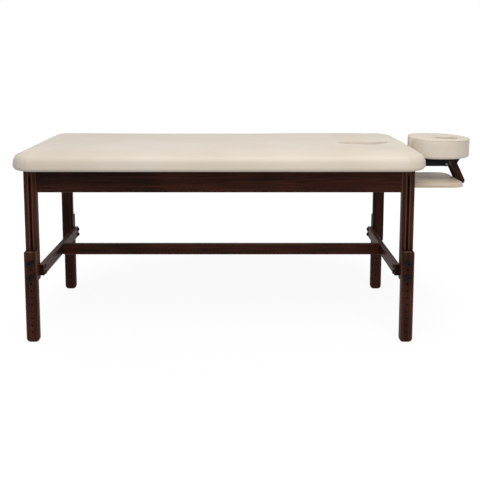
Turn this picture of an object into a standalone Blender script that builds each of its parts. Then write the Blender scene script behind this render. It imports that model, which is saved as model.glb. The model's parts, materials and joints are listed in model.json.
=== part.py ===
# Massage table: padded top on a wooden frame, legs that bolt at several heights,
# a face cradle that slides out of the head end, and an arm shelf hung under it.
# Metres, +Z up. +X points to the head end and -Y to the front. The origin is on the
# floor, under the middle of the whole part's plan.

import math

import bmesh
import bpy
from mathutils import Vector

# Fits
TOUCH_GAP = 0.0003
RUNNING_GAP = 0.0006
BOX_SLIDE_GAP = 0.0004

# Table top
PAD_LENGTH = 1.850
PAD_WIDTH = 0.762
PAD_THICKNESS = 0.076
PAD_TOP_HEIGHT = 0.864
PAD_CORNER_RADIUS = 0.085
PAD_EDGE_RADIUS = 0.038
PAD_UNDER_RADIUS = 0.014
PAD_CROWN = 0.004
PAD_CROWN_WIDTH = 0.055
DECK_THICKNESS = 0.012
DECK_INSET = 0.024

# Breath hole in the pad and the deck
HOLE_LENGTH = 0.224
HOLE_WIDTH = 0.138
HOLE_FROM_HEAD = 0.232
HOLE_RIM = 0.010
HOLE_DECK_MARGIN = 0.004

# Wooden frame, set in from the pad's end and side
LEG_INSET = 0.0545
LEG_OVERHANG = 0.066
LEG_WIDTH = 0.058
LEG_THICKNESS = 0.028
LEG_CHAMFER = 0.005
APRON_HEIGHT = 0.107
RAIL_THICKNESS = 0.024
RAIL_RECESS = 0.004
BATTEN_WIDTH = 0.040
BATTEN_HEIGHT = 0.060
BATTEN_HOLE_MARGIN = 0.030
CORNER_BLOCK_SIDE = 0.080
CORNER_BLOCK_HEIGHT = 0.060
BOARD_CHAMFER = 0.003

# Height adjustment of the legs
LOWER_LEG_LENGTH = 0.420
LEG_FOOT_CHAMFER = 0.010
LEG_HOLE_COUNT = 11
LEG_HOLE_PITCH = 0.032
LEG_HOLE_FIRST = 0.048
LOWER_KNOB_HOLE = 8
UPPER_KNOB_HOLE = 10
UPPER_LEG_TAIL = 0.026
GROOVE_LIP = 0.009
GROOVE_TOP_MARGIN = 0.030
CLAMP_PLATE_WIDTH = 0.018
CLAMP_PLATE_THICKNESS = 0.005
CLAMP_PLATE_END = 0.015

# Clamp knobs
STUD_RADIUS = 0.004
STUD_TAIL = 0.004
KNOB_RADIUS = 0.0165
KNOB_LOBE_DEPTH = 0.0022
KNOB_LOBES = 6
KNOB_HUB_RADIUS = 0.0095
KNOB_HUB_HEIGHT = 0.006
KNOB_GRIP_HEIGHT = 0.014
KNOB_ROUND_OVER = 0.0023

# Stretchers
STRETCHER_HEIGHT = 0.054
STRETCHER_THICKNESS = 0.024
STRETCHER_UNDERSIDE = 0.300
BOLT_RADIUS = 0.004
BOLT_HEAD_RADIUS = 0.009
BOLT_HEAD_HEIGHT = 0.006
BOLT_SPACING = 0.028
BOLT_DEPTH_IN_LEG = 0.016
BOLT_DEPTH_IN_STRETCHER = 0.040

# Face cradle: its cushion is a horseshoe whose mouth faces the table
CRADLE_REACH = 0.292
CRADLE_PAD_GAP = 0.002
CUSHION_WIDTH = 0.290
CUSHION_HEIGHT = 0.086
CUSHION_CORNER = 0.100
CUSHION_EDGE_RADIUS = 0.008
CUSHION_UNDER_RADIUS = 0.010
CUSHION_CROWN = 0.004
CUSHION_CROWN_WIDTH = 0.018
FACE_HOLE_RADIUS = 0.046
FACE_HOLE_FROM_END = 0.1135
MOUTH_WIDTH = 0.020
MOUTH_CORNER = 0.018
NECK_FILLET = 0.036
PLATFORM_INSET = 0.030
PLATFORM_HOLE_MARGIN = 0.004
PLATFORM_THICKNESS = 0.008
PLATFORM_ABOVE_BARS = 0.0165
BAR_SPACING = 0.160
BAR_THICKNESS = 0.012
BAR_HEIGHT = 0.024
BAR_REACH = 0.1625
BAR_INSIDE = 0.190
CROSS_BAR_WIDTH = 0.016
CROSS_BAR_HEIGHT = 0.010
CROSS_BAR_FROM_PAD = 0.050
SOCKET_WALL = 0.002
SOCKET_LENGTH = 0.072
SOCKET_FLANGE = 0.003
SOCKET_FLANGE_RIM = 0.002
SOCKET_BELOW_DECK = 0.0005
EAR_THICKNESS = 0.008
EAR_ROOT = 0.005
EAR_REACH = 0.095
EAR_LAP = 0.002
PIVOT_NUT_RADIUS = 0.0065
PIVOT_NUT_HEIGHT = 0.006

# Arm shelf and its hanger
HANGER_PIN_REACH = 0.2095
HANGER_PIN_DROP = 0.0436
HANGER_PIN_RADIUS = 0.005
BRACKET_WIDTH = 0.050
BRACKET_RADIUS = 0.010
BRACKET_LEAN = 0.024
BRACKET_FLANGE_INNER = 0.0135
BRACKET_FLANGE_OUTER = 0.028
BRACKET_FLANGE_THICKNESS = 0.006
ARM_THICKNESS = 0.018
ARM_RADIUS = 0.0145
ARM_TOP_REACH = 0.022
ARM_OUT = 0.036
ARM_DROP = 0.0755
SHELF_UNDER_PAD = 0.022
SHELF_WIDTH = 0.290
SHELF_BELOW_FOOT = 0.013
SHELF_BOARD_THICKNESS = 0.006
SHELF_PAD_THICKNESS = 0.015
SHELF_PAD_INSET = 0.003
SHELF_OUTER_CORNER = 0.055
SHELF_INNER_CORNER = 0.015
SHELF_PAD_EDGE = 0.008
SHELF_PAD_CROWN = 0.002
SHELF_PAD_CROWN_WIDTH = 0.030

# Facets of round shapes
HOLE_SIDES = 12
BOLT_SIDES = 12
CORNER_STEPS = 6
EDGE_STEPS = 4
HORSESHOE_STEPS = 14
OVAL_POINTS = 32
KNOB_POINTS_PER_LOBE = 3
TIGHTEST_CORNER = 0.004
SMOOTH_ANGLE = math.radians(38)

# Places worked out from the sizes above
TABLE_X = -CRADLE_REACH / 2
HEAD_END = PAD_LENGTH / 2
PAD_UNDERSIDE = PAD_TOP_HEIGHT - PAD_THICKNESS
FRAME_TOP = PAD_UNDERSIDE - TOUCH_GAP
APRON_UNDERSIDE = FRAME_TOP - APRON_HEIGHT
LEG_OUTER_X = HEAD_END - LEG_INSET
LEG_FACE_Y = PAD_WIDTH / 2 - LEG_OVERHANG
LEG_CENTRE_X = LEG_OUTER_X - LEG_WIDTH / 2
LEG_INNER_X = LEG_OUTER_X - LEG_WIDTH
LEG_BACK_Y = LEG_FACE_Y - LEG_THICKNESS
LEG_CENTRE_Y = LEG_FACE_Y - LEG_THICKNESS / 2
RAIL_OUTER_X = LEG_OUTER_X - RAIL_RECESS
RAIL_INNER_X = RAIL_OUTER_X - RAIL_THICKNESS
APRON_FACE_Y = LEG_FACE_Y - RAIL_RECESS
APRON_BACK_Y = APRON_FACE_Y - RAIL_THICKNESS
KNOB_HEIGHTS = [LEG_HOLE_FIRST + LEG_HOLE_PITCH * hole for hole in (LOWER_KNOB_HOLE, UPPER_KNOB_HOLE)]
UPPER_LEG_BOTTOM = KNOB_HEIGHTS[0] - UPPER_LEG_TAIL
CHANNEL_DEPTH = TOUCH_GAP + CLAMP_PLATE_THICKNESS + STUD_TAIL + RUNNING_GAP
LOWER_LEG_CENTRE_Y = LEG_FACE_Y + TOUCH_GAP + LEG_THICKNESS / 2
LOWER_LEG_FACE_Y = LEG_FACE_Y + TOUCH_GAP + LEG_THICKNESS
STRETCHER_CENTRE_Z = STRETCHER_UNDERSIDE + STRETCHER_HEIGHT / 2
END_STRETCHER_X = LEG_INNER_X - TOUCH_GAP - STRETCHER_THICKNESS / 2
END_STRETCHER_INNER_X = END_STRETCHER_X - STRETCHER_THICKNESS / 2
HOLE_CENTRE_X = HEAD_END - HOLE_FROM_HEAD
BAR_Y = BAR_SPACING / 2
SOCKET_BORE = (BAR_THICKNESS + 2 * BOX_SLIDE_GAP, BAR_HEIGHT + 2 * BOX_SLIDE_GAP)
SOCKET_OUTER = tuple(bore + 2 * SOCKET_WALL for bore in SOCKET_BORE)
FLANGE_OUTER = tuple(outer + 2 * SOCKET_FLANGE_RIM for outer in SOCKET_OUTER)
BAR_Z = PAD_UNDERSIDE - SOCKET_BELOW_DECK - FLANGE_OUTER[1] / 2
PIVOT_X = HEAD_END + BAR_REACH - BAR_HEIGHT / 2
PLATFORM_UNDERSIDE = BAR_Z + BAR_HEIGHT / 2 + PLATFORM_ABOVE_BARS
CUSHION_UNDERSIDE = PLATFORM_UNDERSIDE + PLATFORM_THICKNESS + TOUCH_GAP
CUSHION_INNER_X = HEAD_END + CRADLE_PAD_GAP
CUSHION_ROUND_X = HEAD_END + CRADLE_REACH - CUSHION_WIDTH / 2
FACE_HOLE_X = HEAD_END + CRADLE_REACH - FACE_HOLE_FROM_END
PIN_X = HEAD_END + HANGER_PIN_REACH
PIN_Z = PLATFORM_UNDERSIDE - HANGER_PIN_DROP
ARM_FOOT_X = PIN_X + ARM_OUT
ARM_FOOT_Z = PIN_Z - ARM_DROP
ARM_Y = BRACKET_WIDTH / 2 + RUNNING_GAP + ARM_THICKNESS / 2
SHELF_UNDERSIDE = ARM_FOOT_Z - SHELF_BELOW_FOOT
SHELF_BOARD_TOP = SHELF_UNDERSIDE + SHELF_BOARD_THICKNESS
SHELF_PAD_TOP = SHELF_BOARD_TOP + TOUCH_GAP + SHELF_PAD_THICKNESS

for old in list(bpy.data.objects):
    bpy.data.objects.remove(old, do_unlink=True)


# Materials

def finish(name, colour, roughness, metallic=0.0):
    material = bpy.data.materials.new(name)
    material.use_nodes = True
    shader = material.node_tree.nodes["Principled BSDF"]
    shader.inputs["Base Color"].default_value = (*colour, 1.0)
    shader.inputs["Roughness"].default_value = roughness
    shader.inputs["Metallic"].default_value = metallic
    return material


VINYL = finish("cream_vinyl", (0.70, 0.64, 0.55), 0.45)
STAINED_WOOD = finish("dark_stained_wood", (0.040, 0.016, 0.010), 0.35)
PLYWOOD = finish("plywood", (0.48, 0.34, 0.20), 0.60)
BLACK_STEEL = finish("black_painted_steel", (0.012, 0.013, 0.015), 0.40)
BLACK_PLASTIC = finish("black_plastic", (0.014, 0.015, 0.018), 0.50)
STEEL = finish("zinc_plated_steel", (0.55, 0.55, 0.56), 0.35, 1.0)


# Placing: every empty and every object is placed in the table's own coordinates

PLACES = {}


def axis_point(name, place, parent=None):
    empty = bpy.data.objects.new(name, None)
    bpy.context.scene.collection.objects.link(empty)
    PLACES[name] = Vector(place)
    if parent is None:
        empty.location = place
    else:
        empty.parent = parent
        empty.location = PLACES[name] - PLACES[parent.name]
    return empty


def put(name, bm, parent, place, rotation=(0.0, 0.0, 0.0)):
    bmesh.ops.recalc_face_normals(bm, faces=bm.faces)
    mesh = bpy.data.meshes.new(name)
    bm.to_mesh(mesh)
    bm.free()
    obj = bpy.data.objects.new(name, mesh)
    bpy.context.scene.collection.objects.link(obj)
    obj.parent = parent
    obj.location = Vector(place) - PLACES[parent.name]
    obj.rotation_euler = rotation
    return obj


def piece(name, bm, material, parent, place, rotation=(0.0, 0.0, 0.0), smooth=False):
    obj = put(name, bm, parent, place, rotation)
    obj.data.materials.append(material)
    if smooth:
        obj.data.shade_smooth()
        obj.data.set_sharp_from_angle(angle=SMOOTH_ANGLE)
    return obj


def combine(obj, tool, operation):
    tool.hide_render = True
    tool.display_type = "WIRE"
    modifier = obj.modifiers.new(operation.lower(), "BOOLEAN")
    modifier.operation = operation
    modifier.solver = "EXACT"
    modifier.object = tool


# Shapes

def chamfer(bm, width):
    bmesh.ops.bevel(bm, geom=bm.edges, offset=width, segments=1, affect="EDGES")


def block(size, edge=0.0):
    bm = bmesh.new()
    bmesh.ops.create_cube(bm, size=1.0)
    bmesh.ops.scale(bm, vec=size, verts=bm.verts)
    if edge > 0:
        chamfer(bm, edge)
    return bm


def ring_solid(rings):
    bm = bmesh.new()
    loops = [[bm.verts.new(point) for point in ring] for ring in rings]
    count = len(loops[0])
    for lower, upper in zip(loops, loops[1:]):
        for i in range(count):
            j = (i + 1) % count
            bm.faces.new((lower[i], lower[j], upper[j], upper[i]))
    bm.faces.new(list(reversed(loops[0])))
    bm.faces.new(loops[-1])
    return bm


def arc(centre, radius, start, end, steps):
    angles = [start + (end - start) * step / steps for step in range(steps + 1)]
    return [(centre[0] + radius * math.cos(a), centre[1] + radius * math.sin(a)) for a in angles]


def slab(outline, thickness):
    low = [(x, y, -thickness / 2) for x, y in outline]
    high = [(x, y, thickness / 2) for x, y in outline]
    return ring_solid([low, high])


def side_plate(outline, thickness):
    near = [(x, -thickness / 2, z) for x, z in outline]
    far = [(x, thickness / 2, z) for x, z in outline]
    return ring_solid([near, far])


def turned(profile, sides, lobes=0, lobe_depth=0.0):
    rings = []
    for height, radius, lobed in profile:
        ring = []
        for i in range(sides):
            angle = 2 * math.pi * i / sides
            r = radius
            if lobed:
                r -= lobe_depth * (1 - math.cos(lobes * angle)) / 2
            ring.append((r * math.cos(angle), r * math.sin(angle), height))
        rings.append(ring)
    return ring_solid(rings)


def rods(radius, length, places, axis):
    bm = bmesh.new()
    for place in places:
        ring = []
        for i in range(HOLE_SIDES):
            angle = 2 * math.pi * i / HOLE_SIDES
            ring.append((radius * math.cos(angle), radius * math.sin(angle)))
        loops = []
        for end in (-length / 2, length / 2):
            corners = [(end, u, v) if axis == "X" else (u, end, v) for u, v in ring]
            loops.append([bm.verts.new(Vector(c) + Vector(place)) for c in corners])
        for i in range(HOLE_SIDES):
            j = (i + 1) % HOLE_SIDES
            bm.faces.new((loops[0][i], loops[0][j], loops[1][j], loops[1][i]))
        bm.faces.new(list(reversed(loops[0])))
        bm.faces.new(loops[1])
    return bm


def bore_radius(pin_radius):
    return (pin_radius + RUNNING_GAP) / math.cos(math.pi / HOLE_SIDES)


def rounded_rectangle(x_low, x_high, width, low_radius, high_radius):
    quarter = math.pi / 2
    low_x = x_low + low_radius
    low_y = width / 2 - low_radius
    high_x = x_high - high_radius
    high_y = width / 2 - high_radius
    points = arc((high_x, high_y), high_radius, 0, quarter, CORNER_STEPS)
    points += arc((low_x, low_y), low_radius, quarter, 2 * quarter, CORNER_STEPS)
    points += arc((low_x, -low_y), low_radius, 2 * quarter, 3 * quarter, CORNER_STEPS)
    points += arc((high_x, -high_y), high_radius, 3 * quarter, 4 * quarter, CORNER_STEPS)
    return points


def cushion_profile(thickness, under_radius, edge_radius, crown, crown_width):
    quarter = math.pi / 2
    under = arc((under_radius, under_radius), under_radius, -quarter, -2 * quarter, EDGE_STEPS)
    shoulder = (edge_radius, thickness - crown - edge_radius)
    over = arc(shoulder, edge_radius, 2 * quarter, quarter, EDGE_STEPS)
    return under + over + [(edge_radius + crown_width, thickness)]


def padded_slab(x_low, x_high, width, low_radius, high_radius, profile):
    rings = []
    for inset, height in profile:
        low_corner = max(low_radius - inset, TIGHTEST_CORNER)
        high_corner = max(high_radius - inset, TIGHTEST_CORNER)
        outline = rounded_rectangle(x_low + inset, x_high - inset, width - 2 * inset, low_corner, high_corner)
        rings.append([(x, y, height) for x, y in outline])
    return ring_solid(rings)


def oval(length, width, height):
    points = []
    for i in range(OVAL_POINTS):
        angle = 2 * math.pi * i / OVAL_POINTS
        points.append((length / 2 * math.cos(angle), width / 2 * math.sin(angle), height))
    return points


ENDS = {"foot": -1, "head": 1}
SIDES = {"front": -1, "rear": 1}
table = axis_point("table", (0.0, 0.0, 0.0))
table.location.x = TABLE_X


# Pad: foam under vinyl, rounded over its top edge and tucked under, with the breath hole

pad_profile = cushion_profile(PAD_THICKNESS, PAD_UNDER_RADIUS, PAD_EDGE_RADIUS, PAD_CROWN, PAD_CROWN_WIDTH)
pad_shape = padded_slab(-HEAD_END, HEAD_END, PAD_WIDTH, PAD_CORNER_RADIUS, PAD_CORNER_RADIUS, pad_profile)
pad = piece("table_pad", pad_shape, VINYL, table, (0.0, 0.0, PAD_UNDERSIDE), smooth=True)

hole_rings = [oval(HOLE_LENGTH, HOLE_WIDTH, -HOLE_RIM)]
for flare, drop in arc((HOLE_RIM, PAD_THICKNESS - HOLE_RIM), HOLE_RIM, math.pi, math.pi / 2, EDGE_STEPS):
    hole_rings.append(oval(HOLE_LENGTH + 2 * flare, HOLE_WIDTH + 2 * flare, drop))
hole_rings.append(oval(HOLE_LENGTH + 2 * HOLE_RIM, HOLE_WIDTH + 2 * HOLE_RIM, PAD_THICKNESS + HOLE_RIM))
pad_hole = put("pad_hole_cutter", ring_solid(hole_rings), table, (HOLE_CENTRE_X, 0.0, PAD_UNDERSIDE))
combine(pad, pad_hole, "DIFFERENCE")


# Deck: plywood board let into the underside of the pad, with the hole a little wider

def deck_outline(growth):
    half = HEAD_END - DECK_INSET + growth
    width = PAD_WIDTH - 2 * DECK_INSET + 2 * growth
    corner = max(PAD_CORNER_RADIUS - DECK_INSET, TIGHTEST_CORNER) + growth
    return rounded_rectangle(-half, half, width, corner, corner)


deck_z = PAD_UNDERSIDE + DECK_THICKNESS / 2
deck = piece("deck_board", slab(deck_outline(0.0), DECK_THICKNESS), PLYWOOD, table, (0.0, 0.0, deck_z))
pocket_shape = slab(deck_outline(TOUCH_GAP), 2 * (DECK_THICKNESS + TOUCH_GAP))
combine(pad, put("pad_pocket_cutter", pocket_shape, table, (0.0, 0.0, PAD_UNDERSIDE)), "DIFFERENCE")

deck_hole_length = HOLE_LENGTH + 2 * HOLE_DECK_MARGIN
deck_hole_width = HOLE_WIDTH + 2 * HOLE_DECK_MARGIN
deck_hole_rings = [oval(deck_hole_length, deck_hole_width, end * DECK_THICKNESS) for end in (-1, 1)]
deck_hole = put("deck_hole_cutter", ring_solid(deck_hole_rings), table, (HOLE_CENTRE_X, 0.0, deck_z))
combine(deck, deck_hole, "DIFFERENCE")


# Aprons and rails: boards between the legs, just behind their faces

apron_z = APRON_UNDERSIDE + APRON_HEIGHT / 2
apron_size = (2 * (LEG_INNER_X - TOUCH_GAP), RAIL_THICKNESS, APRON_HEIGHT)
rail_size = (RAIL_THICKNESS, 2 * (LEG_BACK_Y - TOUCH_GAP), APRON_HEIGHT)
apron_y = APRON_FACE_Y - RAIL_THICKNESS / 2
rail_x = RAIL_OUTER_X - RAIL_THICKNESS / 2
for side, sign in SIDES.items():
    shape = block(apron_size, BOARD_CHAMFER)
    piece(side + "_apron", shape, STAINED_WOOD, table, (0.0, sign * apron_y, apron_z))
rails = {}
for end, sign in ENDS.items():
    shape = block(rail_size, BOARD_CHAMFER)
    rails[end] = piece(end + "_rail", shape, STAINED_WOOD, table, (sign * rail_x, 0.0, apron_z))


# Battens: across under the deck, the head one clear of the breath hole

batten_size = (BATTEN_WIDTH, 2 * (APRON_BACK_Y - TOUCH_GAP), BATTEN_HEIGHT)
batten_x = HOLE_CENTRE_X - HOLE_LENGTH / 2 - BATTEN_HOLE_MARGIN - BATTEN_WIDTH / 2
batten_z = FRAME_TOP - BATTEN_HEIGHT / 2
for end, sign in ENDS.items():
    shape = block(batten_size, BOARD_CHAMFER)
    piece("cross_batten_" + end, shape, STAINED_WOOD, table, (sign * batten_x, 0.0, batten_z))


# Corner blocks: three-cornered blocks glued behind each leg, between apron and rail

corner_x = RAIL_INNER_X - TOUCH_GAP
corner_y = min(LEG_BACK_Y, APRON_BACK_Y) - TOUCH_GAP
for end, x_sign in ENDS.items():
    for side, y_sign in SIDES.items():
        corner = (x_sign * corner_x, y_sign * corner_y)
        outline = [(0.0, 0.0), (-x_sign * CORNER_BLOCK_SIDE, 0.0), (0.0, -y_sign * CORNER_BLOCK_SIDE)]
        place = (*corner, FRAME_TOP - CORNER_BLOCK_HEIGHT / 2)
        shape = slab(outline, CORNER_BLOCK_HEIGHT)
        piece("corner_block_" + side + "_" + end, shape, STAINED_WOOD, table, place)


# Legs: upper board with a T-shaped groove open at its lower end, holed lower board on its
# outer face, a threaded plate that slides in the groove, and the knobs that clamp them together

def upper_leg(name, x_sign, y_sign):
    height = FRAME_TOP - UPPER_LEG_BOTTOM
    place = (x_sign * LEG_CENTRE_X, y_sign * LEG_CENTRE_Y, UPPER_LEG_BOTTOM + height / 2)
    leg = piece(name, block((LEG_WIDTH, LEG_THICKNESS, height), LEG_CHAMFER), STAINED_WOOD, table, place)
    groove_top = FRAME_TOP - GROOVE_TOP_MARGIN
    groove_height = groove_top - UPPER_LEG_BOTTOM + LEG_THICKNESS
    groove_z = groove_top - groove_height / 2
    mouth_depth = GROOVE_LIP + CHANNEL_DEPTH / 2
    mouth = block((2 * (STUD_RADIUS + RUNNING_GAP), 2 * mouth_depth, groove_height))
    mouth_place = (place[0], y_sign * LEG_FACE_Y, groove_z)
    combine(leg, put(name + "_mouth_cutter", mouth, table, mouth_place), "DIFFERENCE")
    channel = block((CLAMP_PLATE_WIDTH + 2 * RUNNING_GAP, CHANNEL_DEPTH, groove_height))
    channel_place = (place[0], y_sign * (LEG_FACE_Y - GROOVE_LIP - CHANNEL_DEPTH / 2), groove_z)
    combine(leg, put(name + "_channel_cutter", channel, table, channel_place), "DIFFERENCE")
    spots = [(0.0, 0.0, rise) for rise in (-BOLT_SPACING / 2, BOLT_SPACING / 2)]
    holes = rods(bore_radius(BOLT_RADIUS), 2 * (BOLT_DEPTH_IN_LEG + RUNNING_GAP), spots, "X")
    bolt_place = (x_sign * LEG_INNER_X, place[1], STRETCHER_CENTRE_Z)
    combine(leg, put(name + "_bolt_cutter", holes, table, bolt_place), "DIFFERENCE")


def lower_leg(name, parent, x_sign, y_sign):
    half = LEG_WIDTH / 2
    shoulder = half - LEG_FOOT_CHAMFER
    outline = [(-shoulder, 0.0), (shoulder, 0.0), (half, LEG_FOOT_CHAMFER), (half, LOWER_LEG_LENGTH),
               (-half, LOWER_LEG_LENGTH), (-half, LEG_FOOT_CHAMFER)]
    shape = side_plate([(x, z - LOWER_LEG_LENGTH / 2) for x, z in outline], LEG_THICKNESS)
    chamfer(shape, LEG_CHAMFER)
    place = (x_sign * LEG_CENTRE_X, y_sign * LOWER_LEG_CENTRE_Y, LOWER_LEG_LENGTH / 2)
    leg = piece(name, shape, STAINED_WOOD, parent, place)
    spots = [(0.0, 0.0, LEG_HOLE_FIRST + LEG_HOLE_PITCH * hole) for hole in range(LEG_HOLE_COUNT)]
    holes = rods(bore_radius(STUD_RADIUS), 2 * LEG_THICKNESS, spots, "Y")
    combine(leg, put(name + "_hole_cutter", holes, parent, (place[0], place[1], 0.0)), "DIFFERENCE")


def clamp_plate(name, parent, x_sign, y_sign):
    length = KNOB_HEIGHTS[1] - KNOB_HEIGHTS[0] + 2 * CLAMP_PLATE_END
    middle = sum(KNOB_HEIGHTS) / 2
    plate_y = LEG_FACE_Y - GROOVE_LIP - TOUCH_GAP - CLAMP_PLATE_THICKNESS / 2
    place = (x_sign * LEG_CENTRE_X, y_sign * plate_y, middle)
    plate = piece(name, block((CLAMP_PLATE_WIDTH, CLAMP_PLATE_THICKNESS, length)), STEEL, parent, place)
    spots = [(0.0, 0.0, height - middle) for height in KNOB_HEIGHTS]
    holes = rods(bore_radius(STUD_RADIUS), 2 * CLAMP_PLATE_THICKNESS, spots, "Y")
    combine(plate, put(name + "_hole_cutter", holes, parent, place), "DIFFERENCE")


def clamp_knob(name, parent, place, y_sign):
    stud_length = LEG_THICKNESS + GROOVE_LIP + 2 * TOUCH_GAP + CLAMP_PLATE_THICKNESS + STUD_TAIL
    grip_low = KNOB_HUB_HEIGHT
    grip_high = KNOB_HUB_HEIGHT + KNOB_GRIP_HEIGHT
    rim_radius = KNOB_RADIUS - KNOB_ROUND_OVER
    profile = [
        (-stud_length, STUD_RADIUS, False),
        (TOUCH_GAP, STUD_RADIUS, False),
        (TOUCH_GAP, KNOB_HUB_RADIUS, False),
        (grip_low, KNOB_HUB_RADIUS, False),
        (grip_low, rim_radius, True),
        (grip_low + KNOB_ROUND_OVER, KNOB_RADIUS, True),
        (grip_high - KNOB_ROUND_OVER, KNOB_RADIUS, True),
        (grip_high, rim_radius, True),
    ]
    shape = turned(profile, KNOB_POINTS_PER_LOBE * KNOB_LOBES, KNOB_LOBES, KNOB_LOBE_DEPTH)
    rotation = (-y_sign * math.pi / 2, 0.0, 0.0)
    piece(name, shape, BLACK_PLASTIC, parent, place, rotation, smooth=True)


for end, x_sign in ENDS.items():
    for side, y_sign in SIDES.items():
        corner_name = side + "_" + end
        upper_leg("upper_leg_" + corner_name, x_sign, y_sign)
        slide = axis_point("leg_slide_" + corner_name,
                           (x_sign * LEG_CENTRE_X, y_sign * LOWER_LEG_CENTRE_Y, 0.0), table)
        lower_leg("lower_leg_" + corner_name, slide, x_sign, y_sign)
        clamp_plate("clamp_plate_" + corner_name, slide, x_sign, y_sign)
        for level, height in zip(("low", "high"), KNOB_HEIGHTS):
            spot = (x_sign * LEG_CENTRE_X, y_sign * LOWER_LEG_FACE_Y, height)
            clamp_knob("clamp_knob_" + corner_name + "_" + level, slide, spot, y_sign)


# Stretchers: one across each end on the inner side of the legs, and a long one between them

def bolt(name, parent, place, rotation, depth):
    profile = [
        (-depth, BOLT_RADIUS, False),
        (TOUCH_GAP, BOLT_RADIUS, False),
        (TOUCH_GAP, BOLT_HEAD_RADIUS, False),
        (BOLT_HEAD_HEIGHT / 2, BOLT_HEAD_RADIUS, False),
        (BOLT_HEAD_HEIGHT, BOLT_HEAD_RADIUS - BOLT_HEAD_HEIGHT / 2, False),
    ]
    piece(name, turned(profile, BOLT_SIDES), BLACK_STEEL, parent, place, rotation, smooth=True)


for end, x_sign in ENDS.items():
    size = (STRETCHER_THICKNESS, 2 * LEG_FACE_Y, STRETCHER_HEIGHT)
    place = (x_sign * END_STRETCHER_X, 0.0, STRETCHER_CENTRE_Z)
    stretcher = piece("end_stretcher_" + end, block(size, BOARD_CHAMFER), STAINED_WOOD, table, place)
    spots = [(0.0, 0.0, 0.0)]
    for side, y_sign in SIDES.items():
        for level, rise in (("low", -BOLT_SPACING / 2), ("high", BOLT_SPACING / 2)):
            spots.append((0.0, y_sign * LEG_CENTRE_Y, rise))
            head = (x_sign * END_STRETCHER_INNER_X, y_sign * LEG_CENTRE_Y, STRETCHER_CENTRE_Z + rise)
            depth = STRETCHER_THICKNESS + TOUCH_GAP + BOLT_DEPTH_IN_LEG
            bolt("stretcher_bolt_" + side + "_" + end + "_" + level, table, head,
                 (0.0, -x_sign * math.pi / 2, 0.0), depth)
    holes = rods(bore_radius(BOLT_RADIUS), 2 * STRETCHER_THICKNESS, spots, "X")
    combine(stretcher, put("end_stretcher_cutter_" + end, holes, table, place), "DIFFERENCE")
    outer = (x_sign * (END_STRETCHER_X + STRETCHER_THICKNESS / 2), 0.0, STRETCHER_CENTRE_Z)
    depth = STRETCHER_THICKNESS + TOUCH_GAP + BOLT_DEPTH_IN_STRETCHER
    bolt("long_stretcher_bolt_" + end, table, outer, (0.0, x_sign * math.pi / 2, 0.0), depth)

long_half = END_STRETCHER_INNER_X - TOUCH_GAP
long_size = (2 * long_half, STRETCHER_THICKNESS, STRETCHER_HEIGHT)
long_place = (0.0, 0.0, STRETCHER_CENTRE_Z)
long_stretcher = piece("long_stretcher", block(long_size, BOARD_CHAMFER), STAINED_WOOD, table, long_place)
end_spots = [(x_sign * long_half, 0.0, 0.0) for x_sign in ENDS.values()]
end_holes = rods(bore_radius(BOLT_RADIUS), 2 * (BOLT_DEPTH_IN_STRETCHER + RUNNING_GAP), end_spots, "X")
combine(long_stretcher, put("long_stretcher_cutter", end_holes, table, long_place), "DIFFERENCE")


# Sockets: plastic sleeves in notches of the head rail that guide the cradle's bars

def rectangle_ring(x, width, height):
    half_w = width / 2
    half_h = height / 2
    return [(x, -half_w, -half_h), (x, half_w, -half_h), (x, half_w, half_h), (x, -half_w, half_h)]


for side, y_sign in SIDES.items():
    place = (RAIL_OUTER_X, y_sign * BAR_Y, BAR_Z)
    sleeve = ring_solid([
        rectangle_ring(-SOCKET_LENGTH, *SOCKET_OUTER),
        rectangle_ring(TOUCH_GAP, *SOCKET_OUTER),
        rectangle_ring(TOUCH_GAP, *FLANGE_OUTER),
        rectangle_ring(TOUCH_GAP + SOCKET_FLANGE, *FLANGE_OUTER),
    ])
    socket = piece("bar_socket_" + side, sleeve, BLACK_PLASTIC, table, place)
    bore = ring_solid([rectangle_ring(end * 2 * SOCKET_LENGTH, *SOCKET_BORE) for end in (-1, 1)])
    combine(socket, put("bar_socket_cutter_" + side, bore, table, place), "DIFFERENCE")
    notch_depth = FRAME_TOP - BAR_Z + SOCKET_OUTER[1] / 2 + TOUCH_GAP
    notch = block((4 * RAIL_THICKNESS, SOCKET_OUTER[0] + 2 * TOUCH_GAP, 2 * notch_depth))
    notch_place = (RAIL_OUTER_X, y_sign * BAR_Y, FRAME_TOP)
    combine(rails["head"], put("head_rail_cutter_" + side, notch, table, notch_place), "DIFFERENCE")


# Cradle base: two flat steel bars with rounded ends, joined by a cross bar

cradle_slide = axis_point("cradle_slide", (HEAD_END, 0.0, BAR_Z), table)
bar_inner = RAIL_OUTER_X - BAR_INSIDE - PIVOT_X
bar_round = arc((0.0, 0.0), BAR_HEIGHT / 2, -math.pi / 2, math.pi / 2, CORNER_STEPS)
bar_outline = bar_round + [(bar_inner, BAR_HEIGHT / 2), (bar_inner, -BAR_HEIGHT / 2)]
for side, y_sign in SIDES.items():
    place = (PIVOT_X, y_sign * BAR_Y, BAR_Z)
    bar = piece("cradle_bar_" + side, side_plate(bar_outline, BAR_THICKNESS), BLACK_STEEL, cradle_slide, place)
    hole = rods(bore_radius(BOLT_RADIUS), 2 * BAR_THICKNESS, [(0.0, 0.0, 0.0)], "Y")
    combine(bar, put("cradle_bar_cutter_" + side, hole, cradle_slide, place), "DIFFERENCE")

cross_length = BAR_SPACING - BAR_THICKNESS - 2 * TOUCH_GAP
cross_shape = block((CROSS_BAR_WIDTH, cross_length, CROSS_BAR_HEIGHT), BOARD_CHAMFER / 2)
cross_place = (HEAD_END + CROSS_BAR_FROM_PAD, 0.0, BAR_Z)
piece("cradle_cross_bar", cross_shape, BLACK_STEEL, cradle_slide, cross_place)


# Cradle head: horseshoe board and cushion that tilt about the bars' outer ends

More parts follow.
